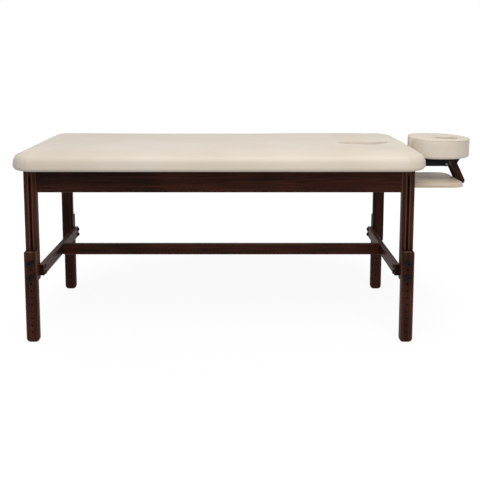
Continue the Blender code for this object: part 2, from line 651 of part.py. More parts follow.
cradle_tilt = axis_point("cradle_tilt", (PIVOT_X, 0.0, BAR_Z), cradle_slide)


def horseshoe_outline(outer_inset, inner_inset):
    quarter = math.pi / 2
    half_width = CUSHION_WIDTH / 2 - outer_inset
    inner_x = CUSHION_INNER_X + outer_inset
    mouth_y = MOUTH_WIDTH / 2 + inner_inset
    corner = max(CUSHION_CORNER - outer_inset, TIGHTEST_CORNER)
    mouth_corner = max(MOUTH_CORNER - max(outer_inset, inner_inset), TIGHTEST_CORNER)
    neck_fillet = max(NECK_FILLET - inner_inset, TIGHTEST_CORNER)
    hole_radius = FACE_HOLE_RADIUS + inner_inset
    neck_y = mouth_y + neck_fillet
    neck_back = math.sqrt((hole_radius + neck_fillet) ** 2 - neck_y ** 2)
    neck_turn = math.atan2(neck_y, neck_back)
    mouth_middle = (inner_x + mouth_corner, mouth_y + mouth_corner)
    neck_middle = (FACE_HOLE_X - neck_back, neck_y)
    half = arc((CUSHION_ROUND_X, 0.0), half_width, 0, quarter, HORSESHOE_STEPS)
    half += arc((inner_x + corner, half_width - corner), corner, quarter, 2 * quarter, CORNER_STEPS)
    half += arc(mouth_middle, mouth_corner, 2 * quarter, 3 * quarter, CORNER_STEPS)
    half += arc(neck_middle, neck_fillet, 3 * quarter, 4 * quarter - neck_turn, EDGE_STEPS)
    half += arc((FACE_HOLE_X, 0.0), hole_radius, 2 * quarter - neck_turn, 0, HORSESHOE_STEPS)[1:]
    mirrored = [(x, -y) for x, y in half[-2:0:-1]]
    return half + mirrored


platform_place = (0.0, 0.0, PLATFORM_UNDERSIDE + PLATFORM_THICKNESS / 2)
platform_shape = slab(horseshoe_outline(PLATFORM_INSET, PLATFORM_HOLE_MARGIN), PLATFORM_THICKNESS)
platform = piece("cradle_platform", platform_shape, BLACK_PLASTIC, cradle_tilt, platform_place)
ear_top = PLATFORM_UNDERSIDE + EAR_ROOT - BAR_Z
ear_round = arc((0.0, 0.0), BAR_HEIGHT / 2, math.pi, 2 * math.pi, CORNER_STEPS)
ear_outline = ear_round + [
    (BAR_HEIGHT / 2, ear_top),
    (-EAR_REACH, ear_top),
    (-EAR_REACH, BAR_HEIGHT / 2 - EAR_LAP),
]
ear_y = BAR_Y + BAR_THICKNESS / 2 + RUNNING_GAP + EAR_THICKNESS / 2
for side, y_sign in SIDES.items():
    ear = side_plate(ear_outline, EAR_THICKNESS)
    ear_place = (PIVOT_X, y_sign * ear_y, BAR_Z)
    combine(platform, put("platform_ear_" + side, ear, cradle_tilt, ear_place), "UNION")
ear_spots = [(0.0, y_sign * ear_y, 0.0) for y_sign in SIDES.values()]
ear_holes = rods(bore_radius(BOLT_RADIUS), 2 * EAR_THICKNESS, ear_spots, "Y")
combine(platform, put("platform_ear_cutter", ear_holes, cradle_tilt, (PIVOT_X, 0.0, BAR_Z)), "DIFFERENCE")

cushion_section = cushion_profile(CUSHION_HEIGHT, CUSHION_UNDER_RADIUS, CUSHION_EDGE_RADIUS, CUSHION_CROWN,
                                  CUSHION_CROWN_WIDTH)
cushion_rings = []
for inset, height in cushion_section:
    cushion_rings.append([(x, y, height) for x, y in horseshoe_outline(inset, inset)])
cushion_place = (0.0, 0.0, CUSHION_UNDERSIDE)
piece("cradle_cushion", ring_solid(cushion_rings), VINYL, cradle_tilt, cushion_place, smooth=True)

for side, y_sign in SIDES.items():
    grip = BAR_THICKNESS + RUNNING_GAP + EAR_THICKNESS + TOUCH_GAP
    profile = [
        (-PIVOT_NUT_HEIGHT, PIVOT_NUT_RADIUS, False),
        (0.0, PIVOT_NUT_RADIUS, False),
        (0.0, BOLT_RADIUS, False),
        (grip + TOUCH_GAP, BOLT_RADIUS, False),
        (grip + TOUCH_GAP, PIVOT_NUT_RADIUS, False),
        (grip + TOUCH_GAP + PIVOT_NUT_HEIGHT / 2, PIVOT_NUT_RADIUS, False),
        (grip + TOUCH_GAP + PIVOT_NUT_HEIGHT, PIVOT_NUT_RADIUS - PIVOT_NUT_HEIGHT / 2, False),
    ]
    nut_face = BAR_Y - BAR_THICKNESS / 2 - TOUCH_GAP
    piece("pivot_bolt_" + side, turned(profile, BOLT_SIDES), STEEL, cradle_tilt,
          (PIVOT_X, y_sign * nut_face, BAR_Z), (-y_sign * math.pi / 2, 0.0, 0.0), smooth=True)


# Hanger: a bracket under the cradle board, and two wooden arms that pivot on its pin

bracket_rise = PLATFORM_UNDERSIDE - TOUCH_GAP - BRACKET_FLANGE_THICKNESS - PIN_Z
lean = math.atan2(BRACKET_LEAN, bracket_rise)
eye = arc((0.0, 0.0), BRACKET_RADIUS, math.pi - lean, 2 * math.pi - lean, 2 * CORNER_STEPS)
web_half = BRACKET_RADIUS / math.cos(lean)
flange_left = BRACKET_LEAN - max(BRACKET_FLANGE_INNER, web_half + TOUCH_GAP)
flange_right = BRACKET_LEAN + max(BRACKET_FLANGE_OUTER, web_half + TOUCH_GAP)
flange_top = bracket_rise + BRACKET_FLANGE_THICKNESS
bracket_outline = eye + [
    (BRACKET_LEAN + web_half, bracket_rise),
    (flange_right, bracket_rise),
    (flange_right, flange_top),
    (flange_left, flange_top),
    (flange_left, bracket_rise),
    (BRACKET_LEAN - web_half, bracket_rise),
]
pin_place = (PIN_X, 0.0, PIN_Z)
bracket_shape = side_plate(bracket_outline, BRACKET_WIDTH)
bracket = piece("hanger_bracket", bracket_shape, BLACK_STEEL, cradle_tilt, pin_place)
pin_hole = rods(bore_radius(HANGER_PIN_RADIUS), 2 * BRACKET_WIDTH, [(0.0, 0.0, 0.0)], "Y")
combine(bracket, put("hanger_bracket_cutter", pin_hole, cradle_tilt, pin_place), "DIFFERENCE")

pin_half = ARM_Y + ARM_THICKNESS / 2 + TOUCH_GAP
pin_head = HANGER_PIN_RADIUS + PIVOT_NUT_HEIGHT / 2
pin_profile = [
    (-pin_half - PIVOT_NUT_HEIGHT / 2, pin_head, False),
    (-pin_half, pin_head, False),
    (-pin_half, HANGER_PIN_RADIUS, False),
    (pin_half, HANGER_PIN_RADIUS, False),
    (pin_half, pin_head, False),
    (pin_half + PIVOT_NUT_HEIGHT / 2, pin_head, False),
]
piece("hanger_pin", turned(pin_profile, BOLT_SIDES), BLACK_STEEL, cradle_tilt, pin_place,
      (math.pi / 2, 0.0, 0.0), smooth=True)

shelf_swing = axis_point("shelf_swing", pin_place, cradle_tilt)
arm_angle = math.atan2(-ARM_DROP, ARM_OUT)
arm_top = (-ARM_TOP_REACH * math.cos(arm_angle), -ARM_TOP_REACH * math.sin(arm_angle))
arm_foot = (ARM_OUT, -ARM_DROP)
quarter_turn = math.pi / 2
arm_outline = arc(arm_top, ARM_RADIUS, arm_angle + quarter_turn, arm_angle + 3 * quarter_turn, 2 * CORNER_STEPS)
arm_outline += arc(arm_foot, ARM_RADIUS, arm_angle - quarter_turn, arm_angle + quarter_turn, 2 * CORNER_STEPS)
for side, y_sign in SIDES.items():
    place = (PIN_X, y_sign * ARM_Y, PIN_Z)
    arm = piece("hanger_arm_" + side, side_plate(arm_outline, ARM_THICKNESS), STAINED_WOOD, shelf_swing, place)
    hole = rods(bore_radius(HANGER_PIN_RADIUS), 2 * ARM_THICKNESS, [(0.0, 0.0, 0.0)], "Y")
    combine(arm, put("hanger_arm_cutter_" + side, hole, shelf_swing, place), "DIFFERENCE")


# Arm shelf: a thin board that meets the arms' feet, with a flat pad on it

def arm_back_edge(height):
    along = Vector((math.cos(arm_angle), math.sin(arm_angle)))
    back = Vector((along.y, -along.x)) * ARM_RADIUS
    tangent_height = ARM_FOOT_Z + back.y
    if height >= tangent_height:
        run = (height - tangent_height) * along.x / along.y
        return ARM_FOOT_X + back.x + run
    drop = min(ARM_FOOT_Z - height, ARM_RADIUS)
    return ARM_FOOT_X - math.sqrt(ARM_RADIUS ** 2 - drop ** 2)


shelf_inner = HEAD_END - SHELF_UNDER_PAD
board_outer = arm_back_edge(SHELF_BOARD_TOP) - TOUCH_GAP
pad_outer = arm_back_edge(SHELF_PAD_TOP) - TOUCH_GAP
board_outline = rounded_rectangle(shelf_inner, board_outer, SHELF_WIDTH, SHELF_INNER_CORNER, SHELF_OUTER_CORNER)
piece("arm_shelf_board", slab(board_outline, SHELF_BOARD_THICKNESS), STAINED_WOOD, shelf_swing,
      (0.0, 0.0, SHELF_UNDERSIDE + SHELF_BOARD_THICKNESS / 2))
shelf_profile = cushion_profile(SHELF_PAD_THICKNESS, SHELF_PAD_EDGE / 2, SHELF_PAD_EDGE, SHELF_PAD_CROWN,
                                SHELF_PAD_CROWN_WIDTH)
shelf_pad_shape = padded_slab(shelf_inner + SHELF_PAD_INSET, pad_outer, SHELF_WIDTH - 2 * SHELF_PAD_INSET,
                              SHELF_INNER_CORNER, SHELF_OUTER_CORNER, shelf_profile)
piece("arm_shelf_pad", shelf_pad_shape, VINYL, shelf_swing,
      (0.0, 0.0, SHELF_BOARD_TOP + TOUCH_GAP), smooth=True)
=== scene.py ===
# Massage table: the finish of its stained frame, its vinyl pads, knobs, face cradle and arm shelf.
# Metres, +Z up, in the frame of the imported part: +X to the head end, -Y to the front.

import json
import math

import bmesh
import bpy
from mathutils import Euler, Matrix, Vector
from mathutils.kdtree import KDTree

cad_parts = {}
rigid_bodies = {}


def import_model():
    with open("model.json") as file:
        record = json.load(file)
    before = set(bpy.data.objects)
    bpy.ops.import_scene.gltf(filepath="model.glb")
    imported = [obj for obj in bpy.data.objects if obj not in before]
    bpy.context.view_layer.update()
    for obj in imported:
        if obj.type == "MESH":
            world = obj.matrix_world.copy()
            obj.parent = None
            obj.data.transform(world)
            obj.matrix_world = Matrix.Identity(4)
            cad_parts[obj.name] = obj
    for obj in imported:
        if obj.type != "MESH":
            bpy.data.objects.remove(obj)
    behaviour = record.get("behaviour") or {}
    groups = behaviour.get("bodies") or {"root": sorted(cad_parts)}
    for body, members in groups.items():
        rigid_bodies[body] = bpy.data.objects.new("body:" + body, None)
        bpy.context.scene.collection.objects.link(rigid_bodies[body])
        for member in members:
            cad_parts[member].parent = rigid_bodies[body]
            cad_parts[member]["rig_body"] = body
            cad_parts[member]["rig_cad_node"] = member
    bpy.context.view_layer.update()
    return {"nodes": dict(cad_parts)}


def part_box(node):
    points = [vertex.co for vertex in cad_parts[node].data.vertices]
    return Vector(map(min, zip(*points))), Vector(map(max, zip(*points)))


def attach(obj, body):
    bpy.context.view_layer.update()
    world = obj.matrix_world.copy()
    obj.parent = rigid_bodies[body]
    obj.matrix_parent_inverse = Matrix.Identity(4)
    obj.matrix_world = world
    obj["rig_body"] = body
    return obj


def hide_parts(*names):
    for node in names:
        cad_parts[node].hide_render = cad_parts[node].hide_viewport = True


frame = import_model()


# Legs
# Planed beech boards with a chamfer on every edge, stained walnut brown and lacquered satin. The upper
# legs are glued to the frame and grooved, and a drilled lower leg is clamped to the outer face of each.

MM = 0.001
CORNERS = [side + "_" + end for side in ("front", "rear") for end in ("foot", "head")]
ALONG_X = (0.0, math.pi / 2, 0.0)
ALONG_Y = (math.pi / 2, 0.0, 0.0)
ALONG_Z = (0.0, 0.0, 0.0)
PALE_LINE_BROWN = "#7A5A47"
GROOVE_HIGHLIGHT_FROM_MIDDLE = 9 * MM
GROOVE_HIGHLIGHT_WIDTH = 4.5 * MM
GROOVE_HIGHLIGHT_SHARE = 0.5
OUTER_FACE_FROM = 200 * MM
OUTER_FACE_FULL = 280 * MM


def linear(code):
    """A colour written as sRGB hex, as the linear values that a shader takes."""
    shares = [int(code[i:i + 2], 16) / 255 for i in (1, 3, 5)]
    return [s / 12.92 if s <= 0.04045 else ((s + 0.055) / 1.055) ** 2.4 for s in shares] + [1.0]


def add_node(tree, kind, settings=None, inputs=None):
    """A node with its settings, and its inputs set to a value or linked to another node's output.

    A colour mix takes its share at 0 and its two colours at 6 and 7, and gives the mixed colour at 2.
    """
    node = tree.nodes.new(kind)
    for name, value in (settings or {}).items():
        setattr(node, name, value)
    for name, value in (inputs or {}).items():
        if isinstance(value, bpy.types.NodeSocket):
            tree.links.new(value, node.inputs[name])
        else:
            node.inputs[name].default_value = value
    return node


def new_material(name, roughness, specular, metallic=0.0):
    """A material with its shader's plain values, its tree and its shader."""
    material = bpy.data.materials.new(name)
    material.use_nodes = True
    shader = material.node_tree.nodes["Principled BSDF"]
    shader.inputs["Roughness"].default_value = roughness
    shader.inputs["Specular IOR Level"].default_value = specular
    shader.inputs["Metallic"].default_value = metallic
    return material, material.node_tree, shader


def stained_beech(name, turn, paled=0.55, painted_shade_tone=1.0):
    # Beech under walnut staining and satin lacquer gives the eye soft streaks along the board, a warm brown
    # that goes nearly black in shade, and a paler line on the chamfers, partly thinned staining and partly
    # painted highlight.
    material, tree, shader = new_material(name, roughness=0.45, specular=0.06)
    # A tone below 1 darkens every colour of the board as painted shade.
    dark, light, warm_brown, pore_brown = [
        [painted_shade_tone * value for value in linear(code)[:3]] + [1.0]
        for code in ("#2D1912", "#512D21", "#5F3224", "#20120C")]
    place = add_node(tree, "ShaderNodeTexCoord")
    # Growth figure 20 mm wide. Real pores are 0.3 mm wide, and are drawn at 5 mm to show at all.
    figure_size = (20 * MM, 20 * MM, 480 * MM)
    pore_size = (5 * MM, 5 * MM, 190 * MM)
    cloud_size = (160 * MM, 160 * MM, 260 * MM)
    figure_map = add_node(tree, "ShaderNodeMapping", {"vector_type": "TEXTURE"},
                          {"Vector": place.outputs["Object"], "Rotation": turn, "Scale": figure_size})
    pore_map = add_node(tree, "ShaderNodeMapping", {"vector_type": "TEXTURE"},
                        {"Vector": place.outputs["Object"], "Rotation": turn, "Scale": pore_size})
    cloud_map = add_node(tree, "ShaderNodeMapping", {"vector_type": "TEXTURE"},
                         {"Vector": place.outputs["Object"], "Rotation": turn, "Scale": cloud_size})
    figure = add_node(tree, "ShaderNodeTexNoise", inputs={
        "Vector": figure_map.outputs[0], "Scale": 1.0, "Detail": 3.0, "Distortion": 0.6})
    pores = add_node(tree, "ShaderNodeTexNoise", inputs={
        "Vector": pore_map.outputs[0], "Scale": 1.0, "Detail": 2.0})
    cloud = add_node(tree, "ShaderNodeTexNoise", inputs={
        "Vector": cloud_map.outputs[0], "Scale": 1.0, "Detail": 1.0})
    figure_share = add_node(tree, "ShaderNodeMapRange", inputs={
        "Value": figure.outputs[0], "From Min": 0.36, "From Max": 0.66})
    pore_share = add_node(tree, "ShaderNodeMapRange", inputs={
        "Value": pores.outputs[0], "From Min": 0.40, "From Max": 0.66, "To Max": 0.65})
    cloud_share = add_node(tree, "ShaderNodeMapRange", inputs={
        "Value": cloud.outputs[0], "From Min": 0.42, "From Max": 0.64, "To Max": 0.55})
    board = add_node(tree, "ShaderNodeMix", {"data_type": "RGBA"}, {
        0: figure_share.outputs[0], 6: dark, 7: light})
    warm = add_node(tree, "ShaderNodeMix", {"data_type": "RGBA"}, {
        0: cloud_share.outputs[0], 6: board.outputs[2], 7: warm_brown})
    grained = add_node(tree, "ShaderNodeMix", {"data_type": "RGBA"}, {
        0: pore_share.outputs[0], 6: warm.outputs[2], 7: pore_brown})
    # A face that lies square to the frame has one large share in its normal, and a chamfer has two.
    square = add_node(tree, "ShaderNodeVectorMath", {"operation": "ABSOLUTE"}, {0: place.outputs["Normal"]})
    shares = add_node(tree, "ShaderNodeSeparateXYZ", inputs={0: square.outputs[0]})
    larger = add_node(tree, "ShaderNodeMath", {"operation": "MAXIMUM"}, {
        0: shares.outputs[0], 1: shares.outputs[1]})
    largest = add_node(tree, "ShaderNodeMath", {"operation": "MAXIMUM"}, {
        0: larger.outputs[0], 1: shares.outputs[2]})
    edge = add_node(tree, "ShaderNodeMapRange", inputs={
        "Value": largest.outputs[0], "From Min": 0.97, "From Max": 0.78, "To Max": paled})
    patchy = add_node(tree, "ShaderNodeMath", {"operation": "MULTIPLY"}, {
        0: edge.outputs[0], 1: figure_share.outputs[0]})
    # The paler chamfer line is partly thinned staining and partly painted highlight.
    worn_and_highlit = add_node(tree, "ShaderNodeMix", {"data_type": "RGBA"}, {
        0: patchy.outputs[0], 6: grained.outputs[2], 7: linear(PALE_LINE_BROWN)})
    # End grain drinks the staining and stays matt, at a board's ends and in the walls of a drilled hole,
    # where the darkening is also painted shade.
    grain_way = Euler(turn).to_matrix() @ Vector((0.0, 0.0, 1.0))
    end_on = add_node(tree, "ShaderNodeVectorMath", {"operation": "DOT_PRODUCT"}, {
        0: place.outputs["Normal"], 1: grain_way})
    end_size = add_node(tree, "ShaderNodeMath", {"operation": "ABSOLUTE"}, {0: end_on.outputs["Value"]})
    end_grain_and_hole_shade = add_node(tree, "ShaderNodeMapRange", inputs={
        "Value": end_size.outputs[0], "From Min": 0.75, "From Max": 0.95, "To Max": 0.85})
    soaked_and_shaded = add_node(tree, "ShaderNodeMix", {"data_type": "RGBA"}, {
        0: end_grain_and_hole_shade.outputs[0], 6: worn_and_highlit.outputs[2], 7: linear("#120A07")})
    bump = add_node(tree, "ShaderNodeBump", inputs={
        "Strength": 0.25, "Distance": 0.3 * MM, "Height": pores.outputs[0]})
    gloss = add_node(tree, "ShaderNodeMapRange", inputs={
        "Value": pores.outputs[0], "From Min": 0.3, "From Max": 0.7, "To Min": 0.36, "To Max": 0.50})
    matt = add_node(tree, "ShaderNodeMath", {"operation": "MAXIMUM"}, {
        0: gloss.outputs[0], 1: end_grain_and_hole_shade.outputs[0]})
    tree.links.new(soaked_and_shaded.outputs[2], shader.inputs["Base Color"])
    tree.links.new(matt.outputs[0], shader.inputs["Roughness"])
    tree.links.new(bump.outputs[0], shader.inputs["Normal"])
    return material


def dress(nodes, material):
    """Gives the part's own solids a finish."""
    for node in nodes:
        frame["nodes"][node].material_slots[0].material = material


def highlight_beside_groove(material):
    # The lips of a groove get a paler line on each side, a painted highlight for edges that would catch the
    # light.
    # On an outer face the normal and the place have a y of one sign, and their product is its distance out.
    tree = material.node_tree
    shader = tree.nodes["Principled BSDF"]
    foot_leg, head_leg = [sum(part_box("upper_leg_front_" + end), Vector()) / 2 for end in ("foot", "head")]
    place = add_node(tree, "ShaderNodeTexCoord")
    spot = add_node(tree, "ShaderNodeSeparateXYZ", inputs={0: place.outputs["Object"]})
    facing = add_node(tree, "ShaderNodeSeparateXYZ", inputs={0: place.outputs["Normal"]})
    along = add_node(tree, "ShaderNodeMath", {"operation": "SUBTRACT"}, {
        0: spot.outputs[0], 1: (foot_leg.x + head_leg.x) / 2})
    either_end = add_node(tree, "ShaderNodeMath", {"operation": "ABSOLUTE"}, {0: along.outputs[0]})
    beside = add_node(tree, "ShaderNodeMath", {"operation": "SUBTRACT"}, {
        0: either_end.outputs[0], 1: (head_leg.x - foot_leg.x) / 2})
    either_side = add_node(tree, "ShaderNodeMath", {"operation": "ABSOLUTE"}, {0: beside.outputs[0]})
    from_line = add_node(tree, "ShaderNodeMath", {"operation": "SUBTRACT"}, {
        0: either_side.outputs[0], 1: GROOVE_HIGHLIGHT_FROM_MIDDLE})
    off_line = add_node(tree, "ShaderNodeMath", {"operation": "ABSOLUTE"}, {0: from_line.outputs[0]})
    on_line = add_node(tree, "ShaderNodeMapRange", inputs={
        "Value": off_line.outputs[0], "From Min": GROOVE_HIGHLIGHT_WIDTH / 2, "From Max": GROOVE_HIGHLIGHT_WIDTH / 4})
    outward = add_node(tree, "ShaderNodeMath", {"operation": "MULTIPLY"}, {
        0: facing.outputs[1], 1: spot.outputs[1]})
    outer_face = add_node(tree, "ShaderNodeMapRange", inputs={
        "Value": outward.outputs[0], "From Min": OUTER_FACE_FROM, "From Max": OUTER_FACE_FULL,
        "To Max": GROOVE_HIGHLIGHT_SHARE})
    share = add_node(tree, "ShaderNodeMath", {"operation": "MULTIPLY"}, {
        0: on_line.outputs[0], 1: outer_face.outputs[0]})
    paled = add_node(tree, "ShaderNodeMix", {"data_type": "RGBA"}, {
        0: share.outputs[0], 6: shader.inputs["Base Color"].links[0].from_socket, 7: linear(PALE_LINE_BROWN)})
    tree.links.new(paled.outputs[2], shader.inputs["Base Color"])


grooved_beech = stained_beech("stained_beech_grooved", ALONG_Z)
# Pale lines beside each groove are painted highlights.
highlight_beside_groove(grooved_beech)
dress(["upper_leg_" + corner for corner in CORNERS], grooved_beech)
dress(["lower_leg_" + corner for corner in CORNERS], stained_beech("stained_beech_upright", ALONG_Z))


# Frame under the top
# Aprons and rails of the same stained beech, tenoned and glued between the legs, with two battens
# across under the deck and a glued three-cornered block in each corner.

long_beech = stained_beech("stained_beech_long", ALONG_X)
cross_beech = stained_beech("stained_beech_cross", ALONG_Y)
# The aprons are darkened to 0.7 as painted shade from the pad that overhangs them.
dress(["front_apron", "rear_apron"], stained_beech("stained_beech_apron_painted_shade", ALONG_X, painted_shade_tone=0.7))
dress(["corner_block_" + corner for corner in CORNERS], long_beech)
dress(["head_rail", "foot_rail", "cross_batten_head", "cross_batten_foot"], cross_beech)


# Stretchers and their bolts
# One beech stretcher across each pair of legs and a long one between them, pulled tight by black
# button-head bolts with a hexagon socket.

BOLT_SIDES = 32
BOLT_SHANK_RADIUS = 4 * MM
BOLT_HEAD_ROUNDING = 0.62
BOLT_HEAD_STEPS = 5
SOCKET_ACROSS = 5 * MM
SOCKET_DEPTH = 2.4 * MM
SMOOTH_BELOW = math.radians(40)
# An edge lies at an end of a piece, and a face lies square to it, from this share of the full measure on.
NEARLY = 0.99


def pick(piece, kind, fits):
    """Selects in edit mode the faces, edges or points of a piece whose middle and part fit."""
    bpy.ops.mesh.select_mode(type=kind)
    bpy.ops.mesh.select_all(action="DESELECT")
    bm = bmesh.from_edit_mesh(piece.data)
    parts = {"FACE": bm.faces, "EDGE": bm.edges, "VERT": bm.verts}[kind]
    for part in parts:
        points = [part.co] if kind == "VERT" else [vert.co for vert in part.verts]
        middle = sum(points, Vector()) / len(points)
        if fits(middle, part):
            part.select_set(True)
    bmesh.update_edit_mesh(piece.data)


def begin(name):
    """Names the piece that was just added or copied, and opens it in edit mode."""
    piece = bpy.context.object
    piece.name = name
    piece.data.name = name
    bpy.ops.object.mode_set(mode="EDIT")
    return piece


def only(piece):
    """Leaves just this piece selected and active, in object mode."""
    if bpy.context.object is not None and bpy.context.object.mode != "OBJECT":
        bpy.ops.object.mode_set(mode="OBJECT")
    bpy.ops.object.select_all(action="DESELECT")
    piece.select_set(True)
    bpy.context.view_layer.objects.active = piece


def settle(piece, place, turn):
    """Turns and moves a piece that was modelled at the origin, and puts that into its mesh."""
    only(piece)
    piece.rotation_euler = turn
    piece.location = place
    bpy.ops.object.transform_apply(location=True, rotation=True, scale=True)


def another(piece, name):
    """A copy of a piece with a mesh of its own."""
    copy = piece.copy()
    copy.data = piece.data.copy()
    copy.name = name
    copy.data.name = name
    bpy.context.scene.collection.objects.link(copy)
    return copy


def cut_out(piece, tool):
    """Takes the shape of a tool out of a piece, and clears the tool away."""
    only(piece)
    cut = piece.modifiers.new("cut", "BOOLEAN")
    cut.object = tool
    bpy.ops.object.modifier_apply(modifier=cut.name)
    bpy.data.objects.remove(tool)


def powder_coat(name):
    # Steel under black powder paint: nearly black, half matt, with a faint orange peel.
    material, tree, shader = new_material(name, roughness=0.45, specular=0.10)
    place = add_node(tree, "ShaderNodeTexCoord")
    # The peel's dimples are about 1 mm across, drawn at 3 mm.
    peel = add_node(tree, "ShaderNodeTexNoise", inputs={
        "Vector": place.outputs["Object"], "Scale": 1 / (3 * MM), "Detail": 1.0})
    cloud = add_node(tree, "ShaderNodeTexNoise", inputs={
        "Vector": place.outputs["Object"], "Scale": 1 / (60 * MM), "Detail": 2.0})
    colour = add_node(tree, "ShaderNodeMix", {"data_type": "RGBA"}, {
        0: cloud.outputs[0], 6: linear("#131417"), 7: linear("#1E2023")})
    gloss = add_node(tree, "ShaderNodeMapRange", inputs={
        "Value": cloud.outputs[0], "To Min": 0.36, "To Max": 0.52})
    bump = add_node(tree, "ShaderNodeBump", inputs={
        "Strength": 0.2, "Distance": 0.1 * MM, "Height": peel.outputs[0]})
    tree.links.new(colour.outputs[2], shader.inputs["Base Color"])
    tree.links.new(gloss.outputs[0], shader.inputs["Roughness"])
    tree.links.new(bump.outputs[0], shader.inputs["Normal"])
    return material


def socket_bolt(name, head_radius, head_height, shank_length, material):
    """A button-head bolt with a hexagon socket. Its head stands on z = 0 and its shank hangs below."""
    bpy.ops.object.select_all(action="DESELECT")
    bpy.ops.mesh.primitive_cylinder_add(vertices=BOLT_SIDES, radius=head_radius, depth=head_height,
                                        location=(0.0, 0.0, head_height / 2))
    bolt = begin(name)
    bpy.ops.object.mode_set(mode="OBJECT")
    bpy.ops.object.transform_apply(location=True, rotation=True, scale=True)
    bpy.ops.object.mode_set(mode="EDIT")
    pick(bolt, "EDGE", lambda middle, edge: min(v.co.z for v in edge.verts) > head_height * NEARLY)
    bpy.ops.mesh.bevel(offset=head_height * BOLT_HEAD_ROUNDING, segments=BOLT_HEAD_STEPS, affect="EDGES")
    pick(bolt, "FACE", lambda middle, face: face.normal.z < -NEARLY)
    bpy.ops.mesh.inset(thickness=head_radius - BOLT_SHANK_RADIUS)
    bpy.ops.mesh.extrude_region_move(TRANSFORM_OT_translate={"value": (0.0, 0.0, -shank_length)})
    bpy.ops.object.mode_set(mode="OBJECT")
    bpy.ops.mesh.primitive_cylinder_add(vertices=6, radius=SOCKET_ACROSS / math.sqrt(3),
                                        depth=2 * SOCKET_DEPTH, location=(0.0, 0.0, head_height))
    cut_out(bolt, bpy.context.object)
    bpy.ops.object.shade_smooth_by_angle(angle=SMOOTH_BELOW)
    bolt.data.materials.append(material)
    return bolt


dress(["end_stretcher_head", "end_stretcher_foot"], cross_beech)
dress(["long_stretcher"], long_beech)

black_steel = powder_coat("black_powder_coat")
bolt_low, bolt_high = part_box("stretcher_bolt_front_foot_low")
bolt_head_radius = (bolt_high.y - bolt_low.y) / 2
end_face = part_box("end_stretcher_foot")[1].x
bolt_head_height = bolt_high.x - end_face
leg_bolt_length = end_face - bolt_low.x
long_bolt_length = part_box("long_stretcher_bolt_foot")[1].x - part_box("end_stretcher_foot")[0].x
leg_bolt = socket_bolt("leg_bolt", bolt_head_radius, bolt_head_height, leg_bolt_length, black_steel)
long_bolt = socket_bolt("long_bolt", bolt_head_radius, bolt_head_height, long_bolt_length, black_steel)
for end, sign in (("foot", -1), ("head", 1)):
    faces = [corner.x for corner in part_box("end_stretcher_" + end)]
    outer_face, inner_face = faces if sign < 0 else reversed(faces)
    spots = [("stretcher_bolt_" + side + "_" + end + "_" + level, leg_bolt, inner_face, -sign)
             for side in ("front", "rear") for level in ("low", "high")]
    spots.append(("long_stretcher_bolt_" + end, long_bolt, outer_face, sign))
    for node, pattern, face_x, out in spots:
        low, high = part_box(node)
        bolt = another(pattern, "black_" + node)
        settle(bolt, (face_x, (low.y + high.y) / 2, (low.z + high.z) / 2), (0.0, out * math.pi / 2, 0.0))
        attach(bolt, "frame")
        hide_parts(node)
for pattern in (leg_bolt, long_bolt):
    bpy.data.objects.remove(pattern)


# Clamp plates and knobs
# A zinc-plated plate that slides in each groove, and two moulded black knobs on steel studs that pass
# through the holes of the lower leg into the plate and pull it tight.

KNOB_POINTS = 36
KNOB_LOBES = 6
KNOB_WAIST = 0.86
KNOB_EDGE = 2.2 * MM
KNOB_EDGE_STEPS = 3
KNOB_HUB_HEIGHT = 6 * MM
KNOB_HUB_INSET = 6 * MM
KNOB_HUB_RIM = 0.4 * MM
KNOB_CAP_INSET = 4.5 * MM
KNOB_CAP_DEPTH = 0.9 * MM
KNOB_CAP_WALL = 0.5 * MM
KNOB_CAP_RIM = 0.5 * MM
STUD_RADIUS = 4 * MM
STUD_CHAMFER = 0.8 * MM


def zinc_plate(name, dark, light):
    # Zinc on mild steel: a cool silver with faint rolling marks and a trace of yellow, bright when it is new.
    # A darker pair of colours paints it in shade.
    material, tree, shader = new_material(name, roughness=0.34, specular=0.5, metallic=1.0)
    place = add_node(tree, "ShaderNodeTexCoord")
    # Rolling marks 0.4 mm wide, drawn at 2 mm, and 40 mm long.
    rolled = add_node(tree, "ShaderNodeMapping", {"vector_type": "TEXTURE"},
                      {"Vector": place.outputs["Object"], "Scale": (2 * MM, 2 * MM, 40 * MM)})
    marks = add_node(tree, "ShaderNodeTexNoise", inputs={
        "Vector": rolled.outputs[0], "Scale": 1.0, "Detail": 2.0})
    colour = add_node(tree, "ShaderNodeMix", {"data_type": "RGBA"}, {
        0: marks.outputs[0], 6: linear(dark), 7: linear(light)})
    gloss = add_node(tree, "ShaderNodeMapRange", inputs={
        "Value": marks.outputs[0], "To Min": 0.26, "To Max": 0.46})
    tree.links.new(colour.outputs[2], shader.inputs["Base Color"])
    tree.links.new(gloss.outputs[0], shader.inputs["Roughness"])
    return material


